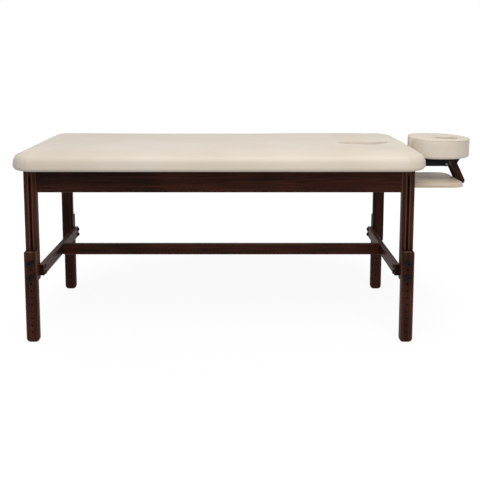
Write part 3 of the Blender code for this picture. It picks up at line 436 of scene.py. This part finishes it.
def moulded_black(name):
    # Glass-filled nylon from a spark-eroded mould: blue-black and matt, with a fine even grain.
    material, tree, shader = new_material(name, roughness=0.55, specular=0.07)
    place = add_node(tree, "ShaderNodeTexCoord")
    # The mould's grain is 0.3 mm, drawn at 1.5 mm.
    grain = add_node(tree, "ShaderNodeTexNoise", inputs={
        "Vector": place.outputs["Object"], "Scale": 1 / (1.5 * MM), "Detail": 1.0})
    cloud = add_node(tree, "ShaderNodeTexNoise", inputs={
        "Vector": place.outputs["Object"], "Scale": 1 / (25 * MM), "Detail": 2.0})
    colour = add_node(tree, "ShaderNodeMix", {"data_type": "RGBA"}, {
        0: cloud.outputs[0], 6: linear("#111317"), 7: linear("#1B1F24")})
    gloss = add_node(tree, "ShaderNodeMapRange", inputs={
        "Value": grain.outputs[0], "To Min": 0.48, "To Max": 0.64})
    bump = add_node(tree, "ShaderNodeBump", inputs={
        "Strength": 0.2, "Distance": 0.08 * MM, "Height": grain.outputs[0]})
    tree.links.new(colour.outputs[2], shader.inputs["Base Color"])
    tree.links.new(gloss.outputs[0], shader.inputs["Roughness"])
    tree.links.new(bump.outputs[0], shader.inputs["Normal"])
    return material


zinc = zinc_plate("zinc_plated_steel", "#A9ABAD", "#CFCDC4")
black_nylon = moulded_black("moulded_black_nylon")
dress(["clamp_plate_" + corner for corner in CORNERS], zinc)

knob_low, knob_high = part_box("clamp_knob_front_foot_low")
leg_face = -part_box("lower_leg_front_foot")[0].y
knob_radius = (knob_high.z - knob_low.z) / 2
knob_height = -knob_low.y - leg_face
stud_length = knob_high.y + leg_face
grip_height = knob_height - KNOB_HUB_HEIGHT
lobe_points = KNOB_POINTS // KNOB_LOBES


def in_waist(middle, vert):
    """Whether a point of the knob's rim lies in the hollow between two lobes."""
    step = round(math.atan2(middle.y, middle.x) / (2 * math.pi) * KNOB_POINTS) % lobe_points
    return step in (lobe_points // 2 - 1, lobe_points // 2, lobe_points // 2 + 1)


bpy.ops.object.select_all(action="DESELECT")
bpy.ops.mesh.primitive_cylinder_add(vertices=KNOB_POINTS, radius=knob_radius, depth=grip_height)
knob = begin("clamp_knob_pattern")
pick(knob, "VERT", in_waist)
bpy.ops.transform.resize(value=(KNOB_WAIST, KNOB_WAIST, 1.0), center_override=(0.0, 0.0, 0.0))
pick(knob, "EDGE", lambda middle, edge: abs(middle.z) > grip_height / 2 * NEARLY)
bpy.ops.mesh.bevel(offset=KNOB_EDGE, segments=KNOB_EDGE_STEPS, affect="EDGES")
pick(knob, "FACE", lambda middle, face: face.normal.z > NEARLY)
bpy.ops.mesh.inset(thickness=KNOB_CAP_INSET)
bpy.ops.mesh.inset(thickness=KNOB_CAP_WALL, depth=-KNOB_CAP_DEPTH)
bpy.ops.mesh.inset(thickness=KNOB_CAP_RIM)
pick(knob, "FACE", lambda middle, face: face.normal.z < -NEARLY and len(face.verts) == KNOB_POINTS)
bpy.ops.mesh.inset(thickness=KNOB_HUB_INSET)
bpy.ops.mesh.extrude_region_move(TRANSFORM_OT_translate={"value": (0.0, 0.0, -KNOB_HUB_HEIGHT)})
bpy.ops.mesh.inset(thickness=KNOB_HUB_RIM)
bpy.ops.object.mode_set(mode="OBJECT")
rounder = knob.modifiers.new("rounder", "SUBSURF")
rounder.levels = 1
rounder.render_levels = 1
bpy.ops.object.modifier_apply(modifier=rounder.name)
bpy.ops.object.shade_smooth()
knob.data.materials.append(black_nylon)
knob.location.z = knob_height - grip_height / 2
bpy.ops.object.transform_apply(location=True, rotation=True, scale=True)

bpy.ops.object.select_all(action="DESELECT")
bpy.ops.mesh.primitive_cylinder_add(vertices=BOLT_SIDES, radius=STUD_RADIUS, depth=stud_length)
stud = begin("stud_pattern")
pick(stud, "EDGE", lambda middle, edge: max(v.co.z for v in edge.verts) < -stud_length / 2 * NEARLY)
bpy.ops.mesh.bevel(offset=STUD_CHAMFER, segments=1, affect="EDGES")
bpy.ops.object.mode_set(mode="OBJECT")
stud.location.z = -stud_length / 2
bpy.ops.object.transform_apply(location=True, rotation=True, scale=True)
bpy.ops.object.shade_smooth_by_angle(angle=SMOOTH_BELOW)
stud.data.materials.append(zinc)

for corner in CORNERS:
    out = -1 if corner.startswith("front") else 1
    for level in ("low", "high"):
        node = "clamp_knob_" + corner + "_" + level
        low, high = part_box(node)
        place = ((low.x + high.x) / 2, out * leg_face, (low.z + high.z) / 2)
        turn = (-out * math.pi / 2, 0.0, 0.0)
        grip = another(knob, "grip_" + corner + "_" + level)
        settle(grip, place, turn)
        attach(grip, "knob_" + corner + "_" + level)
        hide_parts(node)
        rod = another(stud, "stud_" + corner + "_" + level)
        settle(rod, place, turn)
        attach(rod, "knob_" + corner + "_" + level)
for pattern in (knob, stud):
    bpy.data.objects.remove(pattern)


# Deck
# A birch plywood board let into the underside of the pad, with an oval hole under the breath hole.
# It shows only from below, between the rails.


def birch_plywood(name):
    # Rotary-cut birch: pale tan with long soft watery figure along the sheet.
    material, tree, shader = new_material(name, roughness=0.6, specular=0.3)
    place = add_node(tree, "ShaderNodeTexCoord")
    # Watery figure 30 mm wide and 600 mm long, with 6 mm grain lines in it.
    wide_map = add_node(tree, "ShaderNodeMapping", {"vector_type": "TEXTURE"},
                        {"Vector": place.outputs["Object"], "Scale": (600 * MM, 30 * MM, 30 * MM)})
    line_map = add_node(tree, "ShaderNodeMapping", {"vector_type": "TEXTURE"},
                        {"Vector": place.outputs["Object"], "Scale": (240 * MM, 6 * MM, 1.6 * MM)})
    wide = add_node(tree, "ShaderNodeTexNoise", inputs={
        "Vector": wide_map.outputs[0], "Scale": 1.0, "Detail": 2.0, "Distortion": 1.0})
    lines = add_node(tree, "ShaderNodeTexNoise", inputs={
        "Vector": line_map.outputs[0], "Scale": 1.0, "Detail": 2.0})
    face = add_node(tree, "ShaderNodeMix", {"data_type": "RGBA"}, {
        0: wide.outputs[0], 6: linear("#B8936A"), 7: linear("#D9BD94")})
    share = add_node(tree, "ShaderNodeMapRange", inputs={
        "Value": lines.outputs[0], "From Min": 0.45, "From Max": 0.7, "To Max": 0.5})
    colour = add_node(tree, "ShaderNodeMix", {"data_type": "RGBA"}, {
        0: share.outputs[0], 6: face.outputs[2], 7: linear("#9A764E")})
    bump = add_node(tree, "ShaderNodeBump", inputs={
        "Strength": 0.2, "Distance": 0.2 * MM, "Height": lines.outputs[0]})
    tree.links.new(colour.outputs[2], shader.inputs["Base Color"])
    tree.links.new(bump.outputs[0], shader.inputs["Normal"])
    return material


dress(["deck_board"], birch_plywood("birch_plywood"))


# Table pad
# A foam slab under cream vinyl, drawn over the rounded edge and stapled under the deck, with a seam down
# each corner and a vinyl-lined breath hole near the head end.

PAD_SQUARE = 7 * MM
PAD_TAKEN_IN = 4 * MM
PAD_SWELL = 6 * MM
PAD_PRESSURE = 4.0
PAD_HELD_HEIGHT = 16 * MM
PAD_CROWN = 6 * MM
PAD_FLAT = 0.5
PAD_FLAT_DEPTH = 12 * MM
PAD_DROOP = 6 * MM
PAD_DROOP_REACH = 45 * MM
PAD_TUCK = 8 * MM
PAD_TUCK_HEIGHT = 30 * MM
PAD_TUCK_REACH = 60 * MM
FOAM_CORNER = 85 * MM
VINYL_CORNER = 105 * MM
DECK_CORNER = 61 * MM
DECK_CORNER_STEPS = 12
POCKET_GAP = 0.4 * MM
SIM_FRAMES = 20
SMOOTH_SHARE = 0.5
EVEN_PASSES = 4
SEAM_FROM_END = 92 * MM
SEAM_RADIUS = 1.2 * MM
SEAM_STEPS = 2
SEAM_TOP_REACH = 62 * MM
SEAM_ENDS_ABOVE = 3 * MM
MERGE_WITHIN = 0.01 * MM
# A point this near to the height of a solid's face belongs to that face.
CLOSE = 1 * MM


def upholstery_vinyl(name, dark, light):
    # PVC-coated cloth: cream, satin, embossed with a soft leather grain that breaks up the highlights.
    material, tree, shader = new_material(name, roughness=0.46, specular=0.30)
    place = add_node(tree, "ShaderNodeTexCoord")
    # Pebbles of the emboss are 1 mm across, drawn at 3 mm. The tone drifts over about 300 mm.
    pebbles = add_node(tree, "ShaderNodeTexVoronoi", {"feature": "DISTANCE_TO_EDGE"}, {
        "Vector": place.outputs["Object"], "Scale": 1 / (3 * MM)})
    drift = add_node(tree, "ShaderNodeTexNoise", inputs={
        "Vector": place.outputs["Object"], "Scale": 1 / (300 * MM), "Detail": 2.0})
    handled = add_node(tree, "ShaderNodeTexNoise", inputs={
        "Vector": place.outputs["Object"], "Scale": 1 / (45 * MM), "Detail": 3.0})
    tone = add_node(tree, "ShaderNodeMapRange", inputs={
        "Value": drift.outputs[0], "From Min": 0.35, "From Max": 0.65})
    colour = add_node(tree, "ShaderNodeMix", {"data_type": "RGBA"}, {
        0: tone.outputs[0], 6: linear(dark), 7: linear(light)})
    gloss = add_node(tree, "ShaderNodeMapRange", inputs={
        "Value": handled.outputs[0], "From Min": 0.3, "From Max": 0.7, "To Min": 0.42, "To Max": 0.50})
    bump = add_node(tree, "ShaderNodeBump", inputs={
        "Strength": 0.10, "Distance": 0.15 * MM, "Height": pebbles.outputs[0]})
    tree.links.new(colour.outputs[2], shader.inputs["Base Color"])
    tree.links.new(gloss.outputs[0], shader.inputs["Roughness"])
    tree.links.new(bump.outputs[0], shader.inputs["Normal"])
    return material


def pattern_of(node, name):
    """A loose copy of one of the part's solids, with its triangles merged, open in edit mode."""
    only(frame["nodes"][node])
    bpy.ops.object.duplicate()
    bpy.ops.object.parent_clear(type="CLEAR_KEEP_TRANSFORM")
    pattern = begin(name)
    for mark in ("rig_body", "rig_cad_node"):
        del pattern[mark]
    bpy.ops.mesh.select_all(action="SELECT")
    bpy.ops.mesh.remove_doubles(threshold=MERGE_WITHIN)
    return pattern


def even_squares(cover, square, taken_in):
    """Lays a cover out in even small squares, taken in by what its filling will push out."""
    only(cover)
    cover.data.remesh_voxel_size = square
    bpy.ops.object.voxel_remesh()
    bpy.ops.object.mode_set(mode="EDIT")
    bpy.ops.mesh.select_all(action="SELECT")
    bpy.ops.mesh.vertices_smooth(factor=SMOOTH_SHARE, repeat=EVEN_PASSES)
    bpy.ops.transform.shrink_fatten(value=-taken_in)
    bpy.ops.object.mode_set(mode="OBJECT")


def fill(cover, held, pressure, swell):
    """Blows a cover up as its foam does, with the held points fixed and no point moved past swell."""
    start = [vert.co.copy() for vert in cover.data.vertices]
    group = cover.vertex_groups.new(name="held")
    group.add([vert.index for vert in cover.data.vertices if held(vert.co)], 1.0, "REPLACE")
    cloth = cover.modifiers.new("filling", "CLOTH")
    cloth.settings.use_pressure = True
    cloth.settings.uniform_pressure_force = pressure
    cloth.settings.vertex_group_mass = group.name
    cloth.settings.effector_weights.gravity = 0.0
    cloth.point_cache.frame_end = SIM_FRAMES
    for step in range(1, SIM_FRAMES + 1):
        bpy.context.scene.frame_set(step)
    only(cover)
    bpy.ops.object.modifier_apply(modifier=cloth.name)
    for vert, before in zip(cover.data.vertices, start):
        move = vert.co - before
        if move.length > 0.0:
            vert.co = before + move.normalized() * swell * (1 - math.exp(-move.length / swell))
    bpy.context.scene.frame_set(1)
    cover.vertex_groups.clear()


def soften(cover, passes):
    """Evens out the squares and shades them smooth."""
    only(cover)
    bpy.ops.object.mode_set(mode="EDIT")
    bpy.ops.mesh.select_all(action="SELECT")
    bpy.ops.mesh.vertices_smooth(factor=SMOOTH_SHARE, repeat=passes)
    bpy.ops.object.mode_set(mode="OBJECT")
    bpy.ops.object.shade_smooth()


def draw_to_size(cover, low, high):
    """Brings a filled cover to the size of the solid that it stands for."""
    points = [vert.co for vert in cover.data.vertices]
    own_low = Vector([min(co[axis] for co in points) for axis in range(3)])
    own_high = Vector([max(co[axis] for co in points) for axis in range(3)])
    for co in points:
        for axis in range(3):
            share = (co[axis] - own_low[axis]) / (own_high[axis] - own_low[axis])
            co[axis] = low[axis] + share * (high[axis] - low[axis])


def cover_in(piece, material):
    """Gives a piece one finish, in place of what it was copied with."""
    piece.data.materials.clear()
    piece.data.materials.append(material)


def cord_from(line, radius, material):
    """Turns a line of edges into a thin round seam."""
    only(line)
    bpy.ops.object.convert(target="CURVE")
    line.data.bevel_depth = radius
    line.data.bevel_resolution = SEAM_STEPS
    line.data.use_fill_caps = True
    bpy.ops.object.convert(target="MESH")
    bpy.ops.object.shade_smooth()
    cover_in(line, material)


vinyl = upholstery_vinyl("cream_vinyl", "#DED1C0", "#E4D9CB")
pad_low, pad_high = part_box("table_pad")
deck_low, deck_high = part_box("deck_board")

pad = pattern_of("table_pad", "vinyl_table_pad")
pick(pad, "VERT", lambda middle, vert: abs(middle.z - deck_high.z) < CLOSE)
bpy.ops.transform.resize(value=(1.0, 1.0, 0.0), center_override=(0.0, 0.0, pad_low.z))
even_squares(pad, PAD_SQUARE, PAD_TAKEN_IN)
fill(pad, lambda co: co.z < pad_low.z + PAD_HELD_HEIGHT, PAD_PRESSURE, PAD_SWELL)
soften(pad, passes=1)
draw_to_size(pad, pad_low, pad_high + Vector((0.0, 0.0, PAD_CROWN)))


def corner_share(a, b):
    """How far a point of a corner is drawn in, from the foam's corner to the rounder one of the vinyl."""
    spare = VINYL_CORNER - FOAM_CORNER
    reach = math.hypot(a, b)
    if min(a, b) / max(a, b) * VINYL_CORNER < spare:
        return max(a, b) / reach
    towards = spare * (a + b) / reach
    return VINYL_CORNER / (towards + math.sqrt(towards ** 2 - 2 * spare ** 2 + FOAM_CORNER ** 2))


# The foam holds the top nearly flat. The vinyl is pulled tight round the corners and tucked in under the
# edge, and hangs a little below the deck along the sides.
pad_middle = (pad_low + pad_high) / 2
pad_half = (pad_high - pad_low) / 2
for vert in pad.data.vertices:
    below_top = pad_high.z + PAD_CROWN - vert.co.z
    vert.co.z += PAD_FLAT * below_top * math.exp(-below_top / PAD_FLAT_DEPTH)
    out = vert.co - pad_middle
    past_x = abs(out.x) - pad_half.x + VINYL_CORNER
    past_y = abs(out.y) - pad_half.y + VINYL_CORNER
    if min(past_x, past_y) > 0.0:
        share = corner_share(past_x, past_y)
        out.x -= math.copysign((1 - share) * past_x, out.x)
        out.y -= math.copysign((1 - share) * past_y, out.y)
    from_edge = min(pad_half.x - abs(out.x), pad_half.y - abs(out.y))
    under = max(0.0, 1 - (vert.co.z - pad_low.z) / PAD_TUCK_HEIGHT)
    tuck = PAD_TUCK * under ** 2 * max(0.0, 1 - from_edge / PAD_TUCK_REACH)
    from_side = pad_half.y - abs(out.y)
    vert.co.z -= PAD_DROOP * under * max(0.0, 1 - from_side / PAD_DROOP_REACH)
    vert.co.x = pad_middle.x + out.x * (1 - tuck / pad_half.x)
    vert.co.y = pad_middle.y + out.y * (1 - tuck / pad_half.y)

bpy.ops.object.select_all(action="DESELECT")
pocket_height = 2 * (deck_high.z + POCKET_GAP - pad_low.z)
bpy.ops.mesh.primitive_cube_add(size=1.0, location=((deck_low.x + deck_high.x) / 2, 0.0, pad_low.z))
pocket = bpy.context.object
pocket.scale = (deck_high.x - deck_low.x + 2 * POCKET_GAP, deck_high.y - deck_low.y + 2 * POCKET_GAP,
                pocket_height)
bpy.ops.object.transform_apply(location=True, rotation=True, scale=True)
bpy.ops.object.mode_set(mode="EDIT")
pick(pocket, "EDGE", lambda middle, edge: abs(edge.verts[0].co.z - edge.verts[1].co.z) > pocket_height / 2)
bpy.ops.mesh.bevel(offset=DECK_CORNER, segments=DECK_CORNER_STEPS, affect="EDGES")
cut_out(pad, pocket)
cover_in(pad, vinyl)


def seam_over_edge(name, x, y_sign):
    """A seam that runs over the pad's long edge at x, from the top to the underside."""
    only(pad)
    bpy.ops.object.duplicate()
    line = begin(name)
    bpy.ops.mesh.select_all(action="SELECT")
    bpy.ops.mesh.bisect(plane_co=(x, 0.0, pad_low.z), plane_no=(1.0, 0.0, 0.0))
    bpy.ops.mesh.select_mode(type="VERT")
    bpy.ops.mesh.select_all(action="INVERT")
    bpy.ops.mesh.delete(type="VERT")
    reach = pad_high.y - SEAM_TOP_REACH
    end = pad_low.z + SEAM_ENDS_ABOVE
    pick(line, "VERT", lambda middle, vert: y_sign * middle.y < reach or middle.z < end)
    bpy.ops.mesh.delete(type="VERT")
    cord_from(line, SEAM_RADIUS, vinyl)
    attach(line, "frame")


for side, y_sign in (("front", -1), ("rear", 1)):
    seam_over_edge("pad_seam_" + side + "_foot", pad_low.x + SEAM_FROM_END, y_sign)
    seam_over_edge("pad_seam_" + side + "_head", pad_high.x - SEAM_FROM_END, y_sign)
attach(pad, "frame")
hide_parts("table_pad")


# Cradle base
# Two flat black bars that slide in plastic sleeves let into the head rail, with a cross bar between
# them. The horseshoe board tilts on a zinc bolt through the end of each bar, darkened as painted shade.

dress(["bar_socket_front", "bar_socket_rear", "cradle_platform"], black_nylon)
dress(["cradle_bar_front", "cradle_bar_rear", "cradle_cross_bar"], black_steel)
# The bolts' zinc is given darker colours as painted shade.
dress(["pivot_bolt_front", "pivot_bolt_rear"], zinc_plate("zinc_painted_shade", "#66676A", "#7F7D78"))


# Cradle cushion
# A boxed horseshoe of foam under the same vinyl, with its mouth to the table, dished towards the face hole
# and drawn down round its board. A welted seam runs where the lid of the cover meets its wall.

CUSHION_SQUARE = 3 * MM
CUSHION_TAKEN_IN = 1.5 * MM
CUSHION_SWELL = 3 * MM
CUSHION_PRESSURE = 4.0
CUSHION_HELD_HEIGHT = 6 * MM
CUSHION_RIM_DROP = 6.5 * MM
WELT_POINT_GAP = 0.2 * MM
WELT_POINT_CUTS = 3
WELT_RADIUS = 2.3 * MM
WELT_STANDS_OUT = 1.2 * MM
WELT_HOLD = 5 * MM
FACE_HOLE_X = 957.5 * MM
FACE_HOLE_RADIUS = 46 * MM
MOUTH_HALF = 10 * MM
CUSHION_DISH = 8 * MM
CUSHION_DISH_REACH = 80 * MM
CUSHION_DISH_CURVE = 1.5
FACE_HOLE_FLARE = 24 * MM
FACE_HOLE_FLARE_REACH = 1.3 * FACE_HOLE_RADIUS
CUSHION_SKIRT = 8 * MM
CUSHION_SHORTER = 9 * MM
PLATFORM_SLICE = 4 * MM
PLATFORM_ROOM = 1.01


def rim_line(node, name, height):
    """The line round a pad's solid at the given height, cut out of a copy of it."""
    line = pattern_of(node, name)
    bpy.ops.mesh.select_all(action="SELECT")
    bpy.ops.mesh.bisect(plane_co=(0.0, 0.0, height), plane_no=(0.0, 0.0, 1.0))
    bpy.ops.mesh.select_mode(type="VERT")
    bpy.ops.mesh.select_all(action="INVERT")
    bpy.ops.mesh.delete(type="VERT")
    bpy.ops.mesh.select_all(action="SELECT")
    bpy.ops.mesh.remove_doubles(threshold=WELT_POINT_GAP)
    bpy.ops.mesh.subdivide(number_cuts=WELT_POINT_CUTS)
    bpy.ops.object.mode_set(mode="OBJECT")
    return line


def near_line(line, reach):
    """A test for points that lie within reach of a line."""
    tree = KDTree(len(line.data.vertices))
    for vert in line.data.vertices:
        tree.insert(vert.co, vert.index)
    tree.balance()
    return lambda co: tree.find(co)[2] < reach


cushion_low, cushion_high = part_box("cradle_cushion")
welt = rim_line("cradle_cushion", "cushion_welt", cushion_high.z - CUSHION_RIM_DROP)
cushion = pattern_of("cradle_cushion", "vinyl_face_cushion")
even_squares(cushion, CUSHION_SQUARE, CUSHION_TAKEN_IN)
sewn = near_line(welt, WELT_HOLD)
stapled = cushion_low.z + CUSHION_HELD_HEIGHT
fill(cushion, lambda co: co.z < stapled or sewn(co), CUSHION_PRESSURE, CUSHION_SWELL)
soften(cushion, passes=2)
draw_to_size(cushion, cushion_low - Vector((0.0, 0.0, CUSHION_SKIRT)),
             cushion_high - Vector((CUSHION_SHORTER, 0.0, 0.0)))


def hole_share(co):
    """How much of the flare a point gets: all beside the middle of the face hole, and none past its ends."""
    along = (co.x - FACE_HOLE_X) / FACE_HOLE_FLARE_REACH
    return max(0.0, 1.0 - along * along)


for vert in cushion.data.vertices:
    from_hole = math.hypot(vert.co.x - FACE_HOLE_X, vert.co.y) - FACE_HOLE_RADIUS
    from_mouth = abs(vert.co.y) - MOUTH_HALF if vert.co.x < FACE_HOLE_X else from_hole
    share = max(0.0, 1.0 - max(0.0, min(from_hole, from_mouth)) / CUSHION_DISH_REACH)
    rise = (vert.co.z - cushion_low.z) / (cushion_high.z - cushion_low.z)
    vert.co.z -= CUSHION_DISH * share ** CUSHION_DISH_CURVE * max(0.0, rise)
    vert.co.y += math.copysign(FACE_HOLE_FLARE, vert.co.y) * max(0.0, rise) ** 2 * share * hole_share(vert.co)

# The skirt hangs round the board. The room for the board is its upper slice, drawn down past the skirt.
board_space = pattern_of("cradle_platform", "board_space")
platform_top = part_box("cradle_platform")[1].z
bpy.ops.mesh.bisect(plane_co=(0.0, 0.0, platform_top - PLATFORM_SLICE), plane_no=(0.0, 0.0, 1.0),
                    use_fill=True, clear_inner=True)
pick(board_space, "VERT", lambda middle, vert: middle.z < platform_top - PLATFORM_SLICE / 2)
bpy.ops.transform.translate(value=(0.0, 0.0, -2 * CUSHION_SKIRT))
bpy.ops.mesh.select_all(action="SELECT")
bpy.ops.transform.resize(value=(PLATFORM_ROOM, PLATFORM_ROOM, 1.0),
                         center_override=(FACE_HOLE_X, 0.0, platform_top))
cut_out(cushion, board_space)
cover_in(cushion, vinyl)
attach(cushion, "cradle_head")
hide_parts("cradle_cushion")
only(welt)
wrap = welt.modifiers.new("wrap", "SHRINKWRAP")
wrap.target = cushion
wrap.wrap_mode = "ABOVE_SURFACE"
wrap.offset = WELT_STANDS_OUT
bpy.ops.object.modifier_apply(modifier=wrap.name)
cord_from(welt, WELT_RADIUS, vinyl)
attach(welt, "cradle_head")


# Arm shelf and its hanger
# A black bracket under the horseshoe board holds a black pin, and two beech arms swing on it. They carry
# a thin beech board, and a flat vinyl pad is drawn down over the board's edges.

SHELF_SQUARE = 2.5 * MM
SHELF_TAKEN_IN = 1 * MM
SHELF_SWELL = 1.5 * MM
SHELF_PRESSURE = 3.0
SHELF_ROUND = 3 * MM
SHELF_ROUND_STEPS = 4
SHELF_EDGE_BELOW = 2 * MM
SHELF_SPARE = 8 * MM
SHELF_BOARD_ROOM = (1.001, 1.001, 1.2)
VINYL_THICKNESS = 1.5 * MM
BOARD_SHOWS = 1 * MM

dress(["hanger_bracket", "hanger_pin"], black_steel)
arm_low, arm_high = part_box("hanger_arm_front")
arm_lean = math.atan2(arm_high.x - arm_low.x, arm_high.z - arm_low.z)
dress(["hanger_arm_front", "hanger_arm_rear"],
      stained_beech("stained_beech_arm", (0.0, -arm_lean, 0.0), paled=0.3))
dress(["arm_shelf_board"], cross_beech)

shelf_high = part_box("arm_shelf_pad")[1]
board_low, board_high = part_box("arm_shelf_board")
outer_end = board_high.x - (board_high.x - board_low.x) / 3
shelf_pad = pattern_of("arm_shelf_board", "vinyl_shelf_pad")
bpy.ops.mesh.dissolve_limited(angle_limit=math.radians(1))
bpy.ops.mesh.select_all(action="SELECT")
bpy.ops.mesh.bisect(plane_co=(0.0, 0.0, board_high.z - SHELF_EDGE_BELOW), plane_no=(0.0, 0.0, 1.0))
pick(shelf_pad, "VERT", lambda middle, vert: middle.z > board_high.z - CLOSE)
bpy.ops.transform.translate(value=(0.0, 0.0, shelf_high.z - board_high.z))
pick(shelf_pad, "VERT", lambda middle, vert: middle.z > board_high.z and middle.x > outer_end)
bpy.ops.transform.translate(value=(shelf_high.x - board_high.x, 0.0, 0.0))
pick(shelf_pad, "EDGE", lambda middle, edge: min(v.co.z for v in edge.verts) > board_high.z)
bpy.ops.mesh.bevel(offset=SHELF_ROUND, segments=SHELF_ROUND_STEPS, affect="EDGES")
pick(shelf_pad, "VERT", lambda middle, vert: middle.z < board_low.z + CLOSE)
bpy.ops.transform.translate(value=(0.0, 0.0, -SHELF_SPARE))
even_squares(shelf_pad, SHELF_SQUARE, SHELF_TAKEN_IN)
fill(shelf_pad, lambda co: co.z < board_high.z, SHELF_PRESSURE, SHELF_SWELL)
soften(shelf_pad, passes=1)
around = Vector((VINYL_THICKNESS, VINYL_THICKNESS, 0.0))
draw_to_size(shelf_pad, board_low - around - Vector((0.0, 0.0, SHELF_SPARE)),
             Vector((board_high.x, board_high.y, shelf_high.z)) + around)
bpy.ops.object.mode_set(mode="EDIT")
bpy.ops.mesh.select_all(action="SELECT")
bpy.ops.mesh.bisect(plane_co=(0.0, 0.0, board_low.z + BOARD_SHOWS), plane_no=(0.0, 0.0, 1.0),
                    use_fill=True, clear_inner=True)
bpy.ops.object.mode_set(mode="OBJECT")

board_space = pattern_of("arm_shelf_board", "board_space")
bpy.ops.transform.resize(value=SHELF_BOARD_ROOM, center_override=(board_low + board_high) / 2)
cut_out(shelf_pad, board_space)
# The shelf's vinyl is given darker, warmer colours as painted shade from the cushion above it.
cover_in(shelf_pad, upholstery_vinyl("shelf_vinyl_painted_shade", "#D3C0A8", "#DAC8B1"))
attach(shelf_pad, "arm_shelf")
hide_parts("arm_shelf_pad")


# Studio
# A white paper floor that fades into a white background, a large soft light above the front, a weak one
# towards the face cradle, and the camera half a metre above the top's height.

FLOOR_SIZE = 40.0
PAPER_GLOW = 1.06
GLOW_NEAR_TABLE = 0.86
GLOW_GROWS_FROM = 0.9
GLOW_FULL_AT = 1.8
ROOM_LIGHT = 0.35
CAMERA_PLACE = (-0.0533, -3.159, 1.3182)
CAMERA_PITCH = math.radians(6.048)
CAMERA_LENS = 48.845
CAMERA_FILM_WIDTH = 36.0
CAMERA_SHIFT = -0.255


def seen_rays(tree):
    """Gives 1 to rays of the camera and to those that a gloss or glass sends on, and 0 to scattered light."""
    ray = add_node(tree, "ShaderNodeLightPath")
    direct = add_node(tree, "ShaderNodeMath", {"operation": "MAXIMUM"}, {
        0: ray.outputs["Is Camera Ray"], 1: ray.outputs["Is Transmission Ray"]})
    return add_node(tree, "ShaderNodeMath", {"operation": "MAXIMUM"}, {
        0: direct.outputs[0], 1: ray.outputs["Is Glossy Ray"]})


bpy.ops.object.select_all(action="DESELECT")
bpy.ops.mesh.primitive_plane_add(size=FLOOR_SIZE)
floor = bpy.context.object
floor.name = "paper_floor"
paper = bpy.data.materials.new("white_paper")
paper.use_nodes = True
paper_tree = paper.node_tree
paper_tree.nodes.clear()
paper_seen = seen_rays(paper_tree)
white = add_node(paper_tree, "ShaderNodeEmission", inputs={
    "Color": linear("#FFFFFF"), "Strength": PAPER_GLOW})
# The floor throws back less light than it shows, as paper that fills only the space under the table.
tone = add_node(paper_tree, "ShaderNodeMix", {"data_type": "RGBA"}, {
    0: paper_seen.outputs[0], 6: linear("#D2D2D2"), 7: linear("#E6E6E6")})
matt = add_node(paper_tree, "ShaderNodeBsdfDiffuse", inputs={"Color": tone.outputs[2]})
spot = add_node(paper_tree, "ShaderNodeTexCoord")
reach = add_node(paper_tree, "ShaderNodeVectorMath", {"operation": "LENGTH"}, {0: spot.outputs["Object"]})
fade = add_node(paper_tree, "ShaderNodeMapRange", inputs={
    "Value": reach.outputs["Value"], "From Min": GLOW_GROWS_FROM, "From Max": GLOW_FULL_AT,
    "To Min": GLOW_NEAR_TABLE, "To Max": 1.0})
whiteness = add_node(paper_tree, "ShaderNodeMath", {"operation": "MULTIPLY"}, {
    0: paper_seen.outputs[0], 1: fade.outputs[0]})
sheet = add_node(paper_tree, "ShaderNodeMixShader", inputs={
    0: whiteness.outputs[0], 1: matt.outputs[0], 2: white.outputs[0]})
add_node(paper_tree, "ShaderNodeOutputMaterial", inputs={"Surface": sheet.outputs[0]})
floor.data.materials.append(paper)

world = bpy.data.worlds.new("studio")
bpy.context.scene.world = world
world.use_nodes = True
world_tree = world.node_tree
world_tree.nodes.clear()
world_seen = seen_rays(world_tree)
strength = add_node(world_tree, "ShaderNodeMapRange", inputs={
    "Value": world_seen.outputs[0], "To Min": ROOM_LIGHT, "To Max": 1.0})
sky = add_node(world_tree, "ShaderNodeBackground", inputs={
    "Color": linear("#FFFFFF"), "Strength": strength.outputs[0]})
add_node(world_tree, "ShaderNodeOutputWorld", inputs={"Surface": sky.outputs[0]})


def softbox(name, place, aim, width, height, watts):
    """A rectangular soft light at a place, turned to a point."""
    lamp = bpy.data.lights.new(name, "AREA")
    lamp.shape = "RECTANGLE"
    lamp.size = width
    lamp.size_y = height
    lamp.energy = watts
    holder = bpy.data.objects.new(name, lamp)
    bpy.context.scene.collection.objects.link(holder)
    holder.location = place
    holder.rotation_euler = (Vector(aim) - Vector(place)).to_track_quat("-Z", "Y").to_euler()


softbox("key", place=(0.1, -1.95, 3.7), aim=(0.0, 0.0, 0.6), width=3.0, height=2.0, watts=84.0)
softbox("front", place=(1.7, -2.6, 1.5), aim=(0.9, 0.0, 0.7), width=1.2, height=1.2, watts=9.0)

view = bpy.data.cameras.new("photo_view")
view.lens = CAMERA_LENS
view.sensor_width = CAMERA_FILM_WIDTH
view.shift_y = CAMERA_SHIFT
camera = bpy.data.objects.new("photo_view", view)
bpy.context.scene.collection.objects.link(camera)
camera.location = CAMERA_PLACE
camera.rotation_euler = (math.pi / 2 - CAMERA_PITCH, 0.0, 0.0)
bpy.context.scene.camera = camera
bpy.context.scene.view_settings.view_transform = "Standard"
